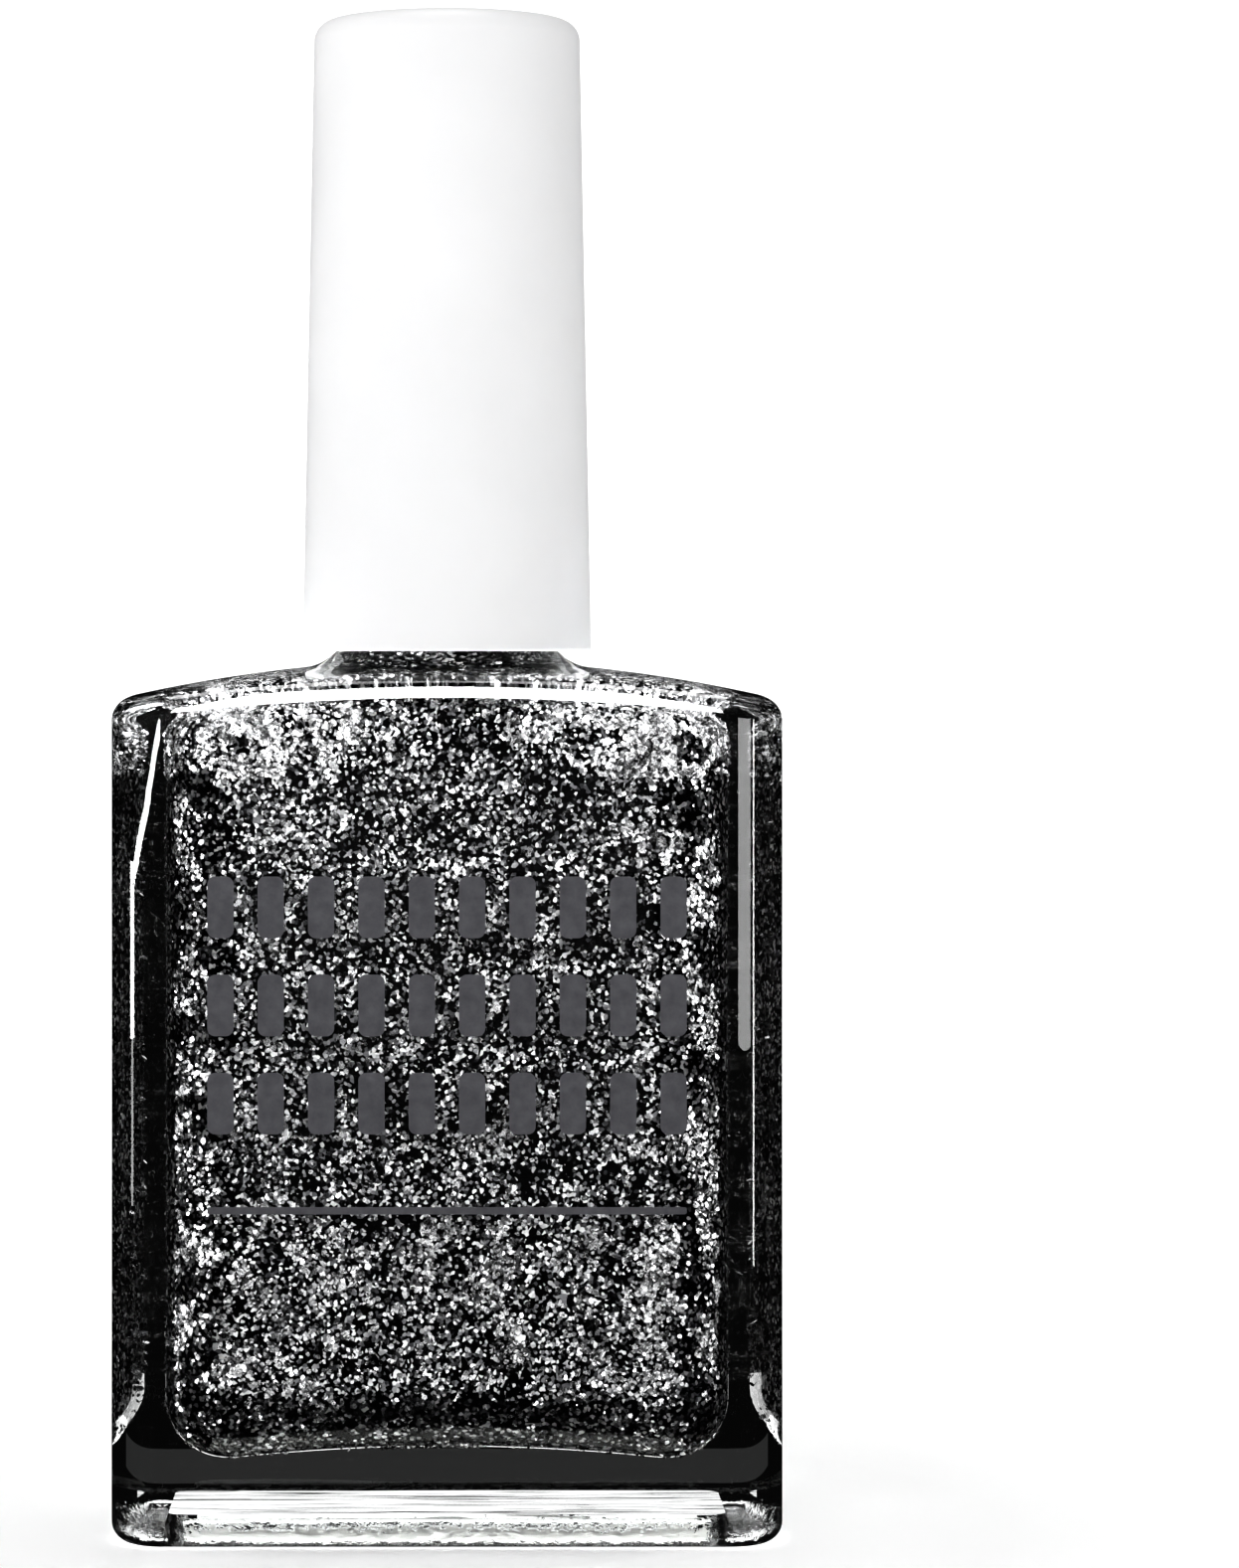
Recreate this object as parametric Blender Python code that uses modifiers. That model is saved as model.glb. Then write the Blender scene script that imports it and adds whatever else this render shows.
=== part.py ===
"""A rectangular nail polish bottle of clear glass with a tall, slightly tapered overcap.

The glass body has a thick base, thick side walls and a domed shoulder, and holds about 15 ml of
glitter polish with two steel mixing balls in it. The closure is an overcap pressed over a threaded
inner cap, which carries the brush: a stem, a tuft of bristles and the staple that anchors them.
A loose washer between the inner cap and the glass lip seals the bottle.

Metres, +Z up, the front faces -Y. The origin is the middle of the base, on the neck's axis.
Run it with: blender --background --python part.py
"""

import math

import bmesh
import bpy

# Glass body, outside
BODY_WIDTH = 0.0373
BODY_DEPTH = 0.0190
CORNER_RADIUS = 0.0030  # upright corners
HEEL_RADIUS = 0.0012  # edge round the base
EDGE_RADIUS = 0.0011  # edge between the walls and the shoulder
SHOULDER_PEAK = 0.0490  # where the shoulder would meet the axis
SHOULDER_RADIUS_X = 0.080  # how the shoulder curves across the width
SHOULDER_RADIUS_Y = 0.045  # and across the depth
SHOULDER_EASE = 29000.0  # how fast the curve across the depth flattens towards the sides
BEARING_WIDTH = 0.0015  # flat ring that the bottle stands on
RECESS_DEPTH = 0.0016  # hollow under the base, which holds the label
RECESS_SLOPE = 0.0005
RECESS_CORNER = 0.0015

# Glass neck: a 13-415 screw finish
RIM_HEIGHT = 0.0495  # lower edge of the overcap
FINISH_HEIGHT = 0.0113
LIP_HEIGHT = RIM_HEIGHT + FINISH_HEIGHT
NECK_RADIUS = 0.00565
NECK_ROOT_RADIUS = 0.0024  # fillet between neck and shoulder
NECK_START = 0.0520  # where the neck is a plain cylinder
LIP_RADIUS = 0.0005
BORE_RADIUS = 0.00395
THREAD_PITCH = 0.0254 / 12
THREAD_CREST = 0.0064
THREAD_BASE_HALF = 0.00070
THREAD_CREST_HALF = 0.00028
THREAD_FADE = 0.12  # share of a turn over which each end of a thread rises
NECK_THREAD_START = 0.0550
NECK_THREAD_TURNS = 1.75

# Cavity
WALL = 0.0030
CAVITY_CORNER = 0.0042
CAVITY_TOP_RADIUS = 0.0010
BORE_FLARE_RADIUS = 0.0009
SHOULDER_THICKNESS = 0.0018
FLOOR_LOW = 0.0045  # floor at the ends of its hump
FLOOR_HUMP = 0.0006
FLOOR_HALF_SPAN = 0.0116
FLOOR_RADIUS = 0.0038

FIT_GAP = 0.0003  # between neighbouring pieces

# Polish and mixing balls
POLISH_LEVEL = 0.0502  # in the neck, just above the overcap's lower edge
WELL_RADIUS = 0.00245  # room that the brush takes in the polish
BALL_RADIUS = 0.0024
BALL_OFFSET = 0.0122  # lowest place on the floor

# Base label
LABEL_THICKNESS = 0.0001
LABEL_MARGIN = 0.0005
LABEL_CORNER = 0.0012

# Overcap
OVERCAP_HEIGHT = 0.0358
OVERCAP_RIM_RADIUS = 0.0082
OVERCAP_TOP_RADIUS = 0.00755
OVERCAP_EDGE_RADIUS = 0.00113
OVERCAP_TOP_THICKNESS = 0.0013
OVERCAP_SOCKET_RADIUS = 0.0074  # the wide lower bore that takes the inner cap
OVERCAP_BORE_RADIUS = 0.0066
OVERCAP_RIM_CHAMFER = 0.0002

# Inner cap
INNER_CAP_RADIUS = 0.00715
INNER_CAP_BORE = 0.0067
INNER_CAP_LIFT = 0.0005  # its skirt stops this far above the overcap's rim
INNER_CAP_ROOF = 0.0012
INNER_CAP_POCKET_RADIUS = 0.0058
INNER_CAP_CHAMFER = 0.0003
INNER_THREAD_CREST = 0.0065  # clears the neck's thread, so that the closure can lift off
INNER_THREAD_START = 0.0539
INNER_THREAD_TURNS = 1.5

# Sealing washer
WASHER_THICKNESS = 0.0008
WASHER_RADIUS = 0.0055
WASHER_HOLE_RADIUS = 0.0025

# Brush
FLANGE_RADIUS = 0.0046
FLANGE_THICKNESS = 0.0008
HEAD_RADIUS = 0.0015  # stem head, through the inner cap's roof
HEAD_BARB_RADIUS = 0.0018
HEAD_HOLE_RADIUS = 0.0017
HEAD_HEIGHT = 0.0011
STEM_TOP_RADIUS = 0.0022
STEM_WAIST_RADIUS = 0.0016
STEM_TIP_RADIUS = 0.0021
STEM_END = 0.0228
SOCKET_RADIUS = 0.00155
SOCKET_DEPTH = 0.0036
TUFT_ROOT_RADIUS = 0.0013
TUFT_HALF_WIDTH = 0.0019
TUFT_HALF_THICKNESS = 0.00115
TUFT_END = 0.0077
STAPLE_WIDTH = 0.0033
STAPLE_THICKNESS = 0.0004
STAPLE_HEIGHT = 0.0016
STAPLE_CLEARANCE = 0.0001

# Facets
SHORT_STEPS = 2  # of half a short side
CORNER_STEPS = 4
LONG_STEPS = 4  # of half a long side
ROUND_STEPS = 40
SLIM_STEPS = 24
THREAD_RING_GAP = 0.00037


def clear_scene():
    for obj in list(bpy.data.objects):
        bpy.data.objects.remove(obj, do_unlink=True)


def new_collection(name):
    collection = bpy.data.collections.new(name)
    bpy.context.scene.collection.children.link(collection)
    return collection


def material(name, colour, roughness, metallic=0.0, transmission=0.0):
    made = bpy.data.materials.new(name)
    made.use_nodes = True
    made.diffuse_color = (*colour, 1.0)
    shader = made.node_tree.nodes["Principled BSDF"]
    shader.inputs["Base Color"].default_value = (*colour, 1.0)
    shader.inputs["Roughness"].default_value = roughness
    shader.inputs["Metallic"].default_value = metallic
    shader.inputs["Transmission Weight"].default_value = transmission
    return made


def add_object(name, mesh, collection, look=None):
    obj = bpy.data.objects.new(name, mesh)
    collection.objects.link(obj)
    if look:
        mesh.materials.append(look)
    return obj


def smooth(mesh):
    mesh.shade_smooth()
    mesh.set_sharp_from_angle(angle=math.radians(35))


# Outlines and lofts ---------------------------------------------------------------------------


def rounded_rectangle(half_x, half_y, radius):
    """Outline points anticlockwise from +X. Every outline has the same count, so any two can be lofted."""
    quarter = [(half_x, (half_y - radius) * i / SHORT_STEPS) for i in range(SHORT_STEPS)]
    for i in range(CORNER_STEPS + 1):
        angle = math.pi / 2 * i / CORNER_STEPS
        x = half_x - radius + radius * math.cos(angle)
        y = half_y - radius + radius * math.sin(angle)
        quarter.append((x, y))
    for i in range(1, LONG_STEPS + 1):
        quarter.append(((half_x - radius) * (1 - i / LONG_STEPS), half_y))
    back = quarter[::-1]
    return (
        quarter[:-1]
        + [(-x, y) for x, y in back[:-1]]
        + [(-x, -y) for x, y in quarter[:-1]]
        + [(x, -y) for x, y in back[:-1]]
    )


def ring_angles():
    """The angle at which each outline point ends up when the body's outline is drawn into a circle."""
    half_x, half_y = BODY_WIDTH / 2, BODY_DEPTH / 2
    outline = rounded_rectangle(half_x, half_y, CORNER_RADIUS)
    return [math.atan2(y / half_y, x / half_x) for x, y in outline]


def circle(radius):
    return [(radius * math.cos(a), radius * math.sin(a)) for a in ring_angles()]


def between(start, end, share):
    return [
        (x0 + (x1 - x0) * share, y0 + (y1 - y0) * share)
        for (x0, y0), (x1, y1) in zip(start, end)
    ]


def lifted(outline, height):
    """The outline in space. The height is a number, or a function of x and y."""
    if callable(height):
        return [(x, y, height(x, y)) for x, y in outline]
    return [(x, y, height) for x, y in outline]


def shares(steps, first=0):
    return [i / steps for i in range(first, steps + 1)]


def loft(rings):
    """A closed mesh through rings of points. Each end closes on its middle point."""
    build = bmesh.new()
    loops = [[build.verts.new(point) for point in ring] for ring in rings]
    count = len(loops[0])
    for lower, upper in zip(loops, loops[1:]):
        for i in range(count):
            j = (i + 1) % count
            build.faces.new((lower[i], lower[j], upper[j], upper[i]))
    for loop, turned_over in ((loops[0], True), (loops[-1], False)):
        middle = build.verts.new([sum(v.co[k] for v in loop) / count for k in range(3)])
        for i in range(count):
            j = (i + 1) % count
            corners = (loop[j], loop[i], middle) if turned_over else (loop[i], loop[j], middle)
            build.faces.new(corners)
    mesh = bpy.data.meshes.new("loft")
    build.to_mesh(mesh)
    build.free()
    smooth(mesh)
    return mesh


# Turned shapes --------------------------------------------------------------------------------


def turned(name, profile, collection, look=None, steps=ROUND_STEPS, closed=True):
    """A solid of revolution. The profile is (radius, height) points, down its outer side first."""
    mesh = bpy.data.meshes.new(name)
    points = [(radius, 0.0, height) for radius, height in profile]
    edges = [(i, i + 1) for i in range(len(points) - 1)]
    if closed:
        edges.append((len(points) - 1, 0))
    mesh.from_pydata(points, edges, [])
    obj = add_object(name, mesh, collection, look)
    screw = obj.modifiers.new("turn", "SCREW")
    screw.steps = screw.render_steps = steps
    screw.use_merge_vertices = True
    screw.merge_threshold = 1e-6
    return obj


def arc(centre_radius, centre_height, radius, start, end, steps):
    """Profile points on an arc, from one angle to another in degrees above the outward radius."""
    points = []
    for share in shares(steps):
        angle = math.radians(start + (end - start) * share)
        points.append((centre_radius + radius * math.cos(angle), centre_height + radius * math.sin(angle)))
    return points


def frozen(obj):
    """Applies an object's modifiers to its mesh."""
    graph = bpy.context.evaluated_depsgraph_get()
    mesh = bpy.data.meshes.new_from_object(obj.evaluated_get(graph))
    obj.modifiers.clear()
    obj.data = mesh
    return obj


def cut(obj, cutter, name):
    boolean = obj.modifiers.new(name, "BOOLEAN")
    boolean.operation = "DIFFERENCE"
    boolean.object = cutter
    cutter.hide_render = True
    cutter.display_type = "WIRE"


def box_mesh(width, depth, height):
    """A box centred on its own origin."""
    build = bmesh.new()
    bmesh.ops.create_cube(build, size=1.0)
    bmesh.ops.scale(build, vec=(width, depth, height), verts=build.verts)
    mesh = bpy.data.meshes.new("box")
    build.to_mesh(mesh)
    build.free()
    return mesh


def sphere_mesh(radius):
    build = bmesh.new()
    bmesh.ops.create_uvsphere(build, u_segments=20, v_segments=12, radius=radius)
    mesh = bpy.data.meshes.new("sphere")
    build.to_mesh(mesh)
    build.free()
    smooth(mesh)
    return mesh


def thread_share(angle, height, start, turns):
    """How much of a thread's depth stands at this place: 0 off the ridge, 1 on its crest."""
    best = 0.0
    first = (angle / (2 * math.pi)) % 1.0
    for whole in range(int(turns) + 1):
        progress = first + whole
        if progress > turns:
            continue
        offset = abs(height - start - THREAD_PITCH * progress)
        flank = (THREAD_BASE_HALF - offset) / (THREAD_BASE_HALF - THREAD_CREST_HALF)
        fade = min(progress, turns - progress) / THREAD_FADE
        best = max(best, min(1.0, flank) * min(1.0, fade))
    return best


# Glass bottle ---------------------------------------------------------------------------------


def shoulder(x, y):
    """Height of the shoulder's outer surface."""
    fall = x * x / (2 * SHOULDER_RADIUS_X) + y * y / (2 * SHOULDER_RADIUS_Y)
    return SHOULDER_PEAK - fall + SHOULDER_EASE * x * x * y * y


def inner_shoulder(x, y):
    return shoulder(x, y) - SHOULDER_THICKNESS


def cavity_floor(x, _y):
    return FLOOR_LOW + FLOOR_HUMP * (1 - (x / FLOOR_HALF_SPAN) ** 2)


def body_outline(inset):
    return rounded_rectangle(BODY_WIDTH / 2 - inset, BODY_DEPTH / 2 - inset, CORNER_RADIUS - inset)


def cavity_outline(inset):
    inset_total = WALL + inset
    return rounded_rectangle(
        BODY_WIDTH / 2 - inset_total, BODY_DEPTH / 2 - inset_total, CAVITY_CORNER - inset
    )


def underside_rings():
    inset = HEEL_RADIUS + BEARING_WIDTH
    outer = rounded_rectangle(BODY_WIDTH / 2 - inset, BODY_DEPTH / 2 - inset, RECESS_CORNER)
    inset += RECESS_SLOPE
    inner = rounded_rectangle(
        BODY_WIDTH / 2 - inset, BODY_DEPTH / 2 - inset, RECESS_CORNER - RECESS_SLOPE / 2
    )
    return [lifted(inner, RECESS_DEPTH), lifted(outer, 0.0)]


def wall_rings():
    """Heel, walls and the rounded edge of the shoulder."""
    rings = []
    for share in shares(4):
        angle = math.pi / 2 * share
        inset = HEEL_RADIUS * (1 - math.sin(angle))
        rings.append(lifted(body_outline(inset), HEEL_RADIUS * (1 - math.cos(angle))))
    for share in shares(4):
        angle = math.pi / 2 * share
        drop = EDGE_RADIUS * (1 - math.sin(angle))
        outline = body_outline(EDGE_RADIUS * (1 - math.cos(angle)))
        rings.append(lifted(outline, lambda x, y, drop=drop: shoulder(x, y) - drop))
    return rings


def shoulder_rings():
    """The dome from its edge to the neck, and the fillet at the neck's root."""
    edge = body_outline(EDGE_RADIUS)
    root = circle(NECK_RADIUS + NECK_ROOT_RADIUS)
    rings = [lifted(between(edge, root, share), shoulder) for share in shares(4, first=1)]
    for share in shares(4, first=1):
        angle = math.pi / 2 * share
        rise = NECK_ROOT_RADIUS * (1 - math.cos(angle))
        outline = circle(NECK_RADIUS + NECK_ROOT_RADIUS * (1 - math.sin(angle)))
        rings.append(lifted(outline, lambda x, y, rise=rise: shoulder(x, y) + rise))
    return rings


def neck_rings():
    """The threaded neck, its rounded lip and the bore."""
    rings = []
    angles = ring_angles()
    depth = THREAD_CREST - NECK_RADIUS
    top = LIP_HEIGHT - LIP_RADIUS
    steps = round((top - NECK_START) / THREAD_RING_GAP)
    for share in shares(steps):
        height = NECK_START + (top - NECK_START) * share
        ring = []
        for angle in angles:
            ridge = thread_share(angle, height, NECK_THREAD_START, NECK_THREAD_TURNS)
            radius = NECK_RADIUS + depth * ridge
            ring.append((radius * math.cos(angle), radius * math.sin(angle), height))
        rings.append(ring)
    for share in shares(3, first=1):
        angle = math.pi / 2 * share
        radius = NECK_RADIUS - LIP_RADIUS * (1 - math.cos(angle))
        rings.append(lifted(circle(radius), top + LIP_RADIUS * math.sin(angle)))
    for share in shares(3):
        angle = math.pi / 2 * share
        radius = BORE_RADIUS + LIP_RADIUS * (1 - math.sin(angle))
        rings.append(lifted(circle(radius), top + LIP_RADIUS * math.cos(angle)))
    return rings


def bore_flare_rings(gap):
    """The bore opening into the cavity's roof, from the bore down, drawn in by the gap."""
    rings = []
    reach = BORE_FLARE_RADIUS + gap
    for share in shares(3):
        angle = math.pi / 2 * share
        rise = BORE_FLARE_RADIUS - reach * math.sin(angle)
        outline = circle(BORE_RADIUS + BORE_FLARE_RADIUS - reach * math.cos(angle))
        rings.append(lifted(outline, lambda x, y, rise=rise: inner_shoulder(x, y) + rise))
    return rings


def cavity_rings(gap):
    """The cavity's floor, walls and rounded roof edge, from the middle up, drawn in by the gap."""
    rings = []
    flat = cavity_outline(FLOOR_RADIUS + gap)
    for share in (0.45, 0.75):
        outline = [(x * share, y * share) for x, y in flat]
        rings.append(lifted(outline, lambda x, y: cavity_floor(x, y) + gap))
    radius = FLOOR_RADIUS
    for share in shares(5):
        angle = math.pi / 2 * share
        outline = cavity_outline(gap + radius * (1 - math.sin(angle)))
        rise = radius * (1 - math.cos(angle)) + gap
        rings.append(lifted(outline, lambda x, y, rise=rise: cavity_floor(x, y) + rise))
    for share in shares(3):
        angle = math.pi / 2 * share
        outline = cavity_outline(gap + CAVITY_TOP_RADIUS * (1 - math.cos(angle)))
        drop = CAVITY_TOP_RADIUS * (1 - math.sin(angle)) + gap
        rings.append(lifted(outline, lambda x, y, drop=drop: inner_shoulder(x, y) - drop))
    return rings


def make_glass_bottle(collection, look):
    rings = underside_rings() + wall_rings() + shoulder_rings() + neck_rings() + bore_flare_rings(0.0)
    flare = circle(BORE_RADIUS + BORE_FLARE_RADIUS)
    roof_edge = cavity_outline(CAVITY_TOP_RADIUS)
    rings += [lifted(between(flare, roof_edge, share), inner_shoulder) for share in (0.35, 0.7)]
    rings += cavity_rings(0.0)[::-1]
    return add_object("glass_bottle", loft(rings), collection, look)


# What the bottle holds ------------------------------------------------------------------------


def polish_roof(x, y):
    return inner_shoulder(x, y) - FIT_GAP


def make_nail_polish(collection, cutters, look):
    """The polish fills the cavity and the foot of the neck, round a well for the brush and a pocket
    for each mixing ball."""
    rings = cavity_rings(FIT_GAP)
    roof_edge = cavity_outline(CAVITY_TOP_RADIUS + FIT_GAP)
    flare = circle(BORE_RADIUS + BORE_FLARE_RADIUS)
    rings += [lifted(between(roof_edge, flare, share), polish_roof) for share in (0.3, 0.65)]
    rings += bore_flare_rings(FIT_GAP)[::-1]
    rings += [lifted(circle(BORE_RADIUS - FIT_GAP), POLISH_LEVEL)]
    well = circle(WELL_RADIUS)
    rings += [lifted(well, POLISH_LEVEL), lifted(well, TUFT_END - FIT_GAP)]
    polish = add_object("nail_polish", loft(rings), collection, look)
    for side, name in ((-1, "left"), (1, "right")):
        pocket = add_object(f"ball_pocket_{name}", sphere_mesh(BALL_RADIUS + FIT_GAP), cutters)
        pocket.location = ball_centre(side)
        cut(polish, pocket, f"pocket_{name}")
    return polish


def ball_centre(side):
    x = side * BALL_OFFSET
    return (x, 0.0, cavity_floor(x, 0.0) + FIT_GAP + BALL_RADIUS)


def make_mixing_balls(collection, look):
    for side, name in ((-1, "left"), (1, "right")):
        ball = add_object(f"mixing_ball_{name}", sphere_mesh(BALL_RADIUS), collection, look)
        ball.location = ball_centre(side)


def make_base_label(collection, look):
    """A blank paper label, glued up inside the hollow under the base."""
    inset = HEEL_RADIUS + BEARING_WIDTH + RECESS_SLOPE + LABEL_MARGIN
    half_x = BODY_WIDTH / 2 - inset
    half_y = BODY_DEPTH / 2 - inset
    outline = rounded_rectangle(half_x, half_y, LABEL_CORNER)
    curve = bpy.data.curves.new("base_label", "CURVE")
    curve.dimensions = "2D"
    curve.fill_mode = "BOTH"
    curve.extrude = LABEL_THICKNESS / 2
    spline = curve.splines.new("POLY")
    spline.points.add(len(outline) - 1)
    for point, (x, y) in zip(spline.points, outline):
        point.co = (x, y, 0.0, 1.0)
    spline.use_cyclic_u = True
    label = add_object("base_label", curve, collection, look)
    label.location = (0.0, 0.0, RECESS_DEPTH - FIT_GAP - LABEL_THICKNESS / 2)
    return label


# Closure --------------------------------------------------------------------------------------


def make_overcap(collection, look):
    """Tall sleeve, closed at the top. Its local origin is the middle of its lower edge."""
    edge = OVERCAP_EDGE_RADIUS
    ceiling = OVERCAP_HEIGHT - OVERCAP_TOP_THICKNESS
    ledge = LIP_HEIGHT - RIM_HEIGHT + stack_height() + INNER_CAP_ROOF + FIT_GAP
    profile = [(0.0, OVERCAP_HEIGHT)]
    profile += arc(OVERCAP_TOP_RADIUS - edge, OVERCAP_HEIGHT - edge, edge, 90, 0, 5)
    profile += [
        (OVERCAP_RIM_RADIUS, OVERCAP_RIM_CHAMFER),
        (OVERCAP_RIM_RADIUS - OVERCAP_RIM_CHAMFER, 0.0),
        (OVERCAP_SOCKET_RADIUS, 0.0),
        (OVERCAP_SOCKET_RADIUS, ledge),
        (OVERCAP_BORE_RADIUS, ledge),
    ]
    bore_top = OVERCAP_TOP_RADIUS - OVERCAP_RIM_RADIUS + OVERCAP_SOCKET_RADIUS - edge / 2
    profile += [(bore_top, ceiling - edge / 2), (bore_top - edge / 2, ceiling), (0.0, ceiling)]
    return turned("overcap", profile, collection, look, closed=False)


def stack_height():
    """From the glass lip up to the underside of the inner cap's roof."""
    return 3 * FIT_GAP + WASHER_THICKNESS + FLANGE_THICKNESS


def make_inner_cap(collection, look):
    """Threaded closure. Its local origin is on the axis, at the height of the overcap's lower edge."""
    bottom = INNER_CAP_LIFT
    lip = LIP_HEIGHT - RIM_HEIGHT
    roof = lip + stack_height()
    top = roof + INNER_CAP_ROOF
    pocket = lip - 2 * FIT_GAP
    chamfer = INNER_CAP_CHAMFER
    profile = [
        (HEAD_HOLE_RADIUS, top),
        (INNER_CAP_RADIUS - chamfer, top),
        (INNER_CAP_RADIUS, top - chamfer),
        (INNER_CAP_RADIUS, bottom),
        (INNER_CAP_BORE, bottom),
    ]
    first = INNER_THREAD_START - RIM_HEIGHT - THREAD_BASE_HALF
    last = first + THREAD_PITCH * INNER_THREAD_TURNS + 2 * THREAD_BASE_HALF
    steps = round((last - first) / THREAD_RING_GAP)
    profile += [(INNER_CAP_BORE, first + (last - first) * share) for share in shares(steps)]
    profile += [
        (INNER_CAP_BORE, pocket),
        (INNER_CAP_POCKET_RADIUS, pocket + FIT_GAP),
        (INNER_CAP_POCKET_RADIUS, roof),
        (HEAD_HOLE_RADIUS, roof),
    ]
    cap = frozen(turned("inner_cap", profile, collection, look))
    depth = INNER_CAP_BORE - INNER_THREAD_CREST
    for vertex in cap.data.vertices:
        x, y, z = vertex.co
        radius = math.hypot(x, y)
        if radius > INNER_CAP_BORE + FIT_GAP or not first < z < last:
            continue
        start = INNER_THREAD_START - RIM_HEIGHT
        ridge = thread_share(math.atan2(y, x), z, start, INNER_THREAD_TURNS)
        scale = (radius - depth * ridge) / radius
        vertex.co = (x * scale, y * scale, z)
    smooth(cap.data)
    return cap


def make_sealing_washer(collection, look):
    """Soft washer on the glass lip. Its local origin is the middle of its lower face."""
    profile = [
        (WASHER_HOLE_RADIUS, WASHER_THICKNESS),
        (WASHER_RADIUS, WASHER_THICKNESS),
        (WASHER_RADIUS, 0.0),
        (WASHER_HOLE_RADIUS, 0.0),
    ]
    return turned("sealing_washer", profile, collection, look)


def make_brush_stem(collection, cutters, look):
    """Stem with its flange, its barbed head and the socket for the bristles, in world heights."""
    flange = LIP_HEIGHT + 2 * FIT_GAP + WASHER_THICKNESS
    flange_top = flange + FLANGE_THICKNESS
    roof_top = LIP_HEIGHT + stack_height() + INNER_CAP_ROOF
    barb = roof_top + FIT_GAP
    socket_top = STEM_END + SOCKET_DEPTH
    profile = [
        (0.0, barb + HEAD_HEIGHT),
        (HEAD_RADIUS * 0.6, barb + HEAD_HEIGHT),
        (HEAD_BARB_RADIUS, barb),
        (HEAD_RADIUS, barb - FIT_GAP),
        (HEAD_RADIUS, flange_top),
        (FLANGE_RADIUS, flange_top),
        (FLANGE_RADIUS, flange),
        (STEM_TOP_RADIUS, flange),
        (STEM_TOP_RADIUS, flange - 0.0080),
        (STEM_WAIST_RADIUS, flange - 0.0110),
        (STEM_WAIST_RADIUS, socket_top + 0.0050),
        (STEM_TIP_RADIUS, socket_top + 0.0020),
        (STEM_TIP_RADIUS, STEM_END + 0.0003),
        (STEM_TIP_RADIUS - 0.0002, STEM_END),
        (SOCKET_RADIUS, STEM_END),
        (SOCKET_RADIUS, socket_top),
        (0.0, socket_top),
    ]
    stem = turned("brush_stem", profile, collection, look, steps=SLIM_STEPS, closed=False)
    room = 2 * STAPLE_CLEARANCE
    notch_mesh = box_mesh(STAPLE_WIDTH + room, STAPLE_THICKNESS + room, STAPLE_HEIGHT + room)
    notch = add_object("staple_notch", notch_mesh, cutters)
    notch.location = (0.0, 0.0, staple_height())
    cut(stem, notch, "notch")
    return stem


def staple_height():
    """Middle of the staple, near the socket's blind end."""
    return STEM_END + SOCKET_DEPTH - 0.0008 - STAPLE_HEIGHT / 2


def make_brush_staple(collection, look):
    mesh = box_mesh(STAPLE_WIDTH, STAPLE_THICKNESS, STAPLE_HEIGHT)
    staple = add_object("brush_staple", mesh, collection, look)
    staple.location = (0.0, 0.0, staple_height())
    bevel = staple.modifiers.new("edges", "BEVEL")
    bevel.width = 0.00008
    bevel.segments = 1
    return staple


def make_bristle_tuft(collection, cutters, look):
    """Bristles as one body: a round root in the socket, a flat oval brush and a rounded tip."""
    length = STEM_END - TUFT_END
    sections = [  # half width, half thickness, height
        (0.30, 0.25, TUFT_END),
        (0.68, 0.62, TUFT_END + 0.06 * length),
        (0.90, 0.88, TUFT_END + 0.16 * length),
        (1.00, 1.00, TUFT_END + 0.38 * length),
        (0.97, 1.00, TUFT_END + 0.66 * length),
    ]
    rings = [
        oval(TUFT_HALF_WIDTH * wide, TUFT_HALF_THICKNESS * thick, height)
        for wide, thick, height in sections
    ]
    root_top = STEM_END + SOCKET_DEPTH - FIT_GAP
    for height in (STEM_END - FIT_GAP, STEM_END + FIT_GAP, root_top):
        rings.append(oval(TUFT_ROOT_RADIUS, TUFT_ROOT_RADIUS, height))
    tuft = add_object("bristle_tuft", loft(rings), collection, look)
    room = 4 * STAPLE_CLEARANCE
    slot_mesh = box_mesh(STAPLE_WIDTH + room, STAPLE_THICKNESS + room, STAPLE_HEIGHT + room)
    slot = add_object("staple_slot", slot_mesh, cutters)
    slot.location = (0.0, 0.0, staple_height())
    cut(tuft, slot, "slot")
    return tuft


def oval(half_x, half_y, height):
    points = []
    for i in range(SLIM_STEPS):
        angle = 2 * math.pi * i / SLIM_STEPS
        points.append((half_x * math.cos(angle), half_y * math.sin(angle), height))
    return points


def empty(name, height, collection):
    axis = bpy.data.objects.new(name, None)
    axis.empty_display_size = 0.005
    axis.location = (0.0, 0.0, height)
    collection.objects.link(axis)
    return axis


def hang(obj, axis, height):
    """Places an object on the axis at a height above the base and parents it to the axis."""
    obj.parent = axis
    obj.location = (0.0, 0.0, height - axis.location.z)


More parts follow.
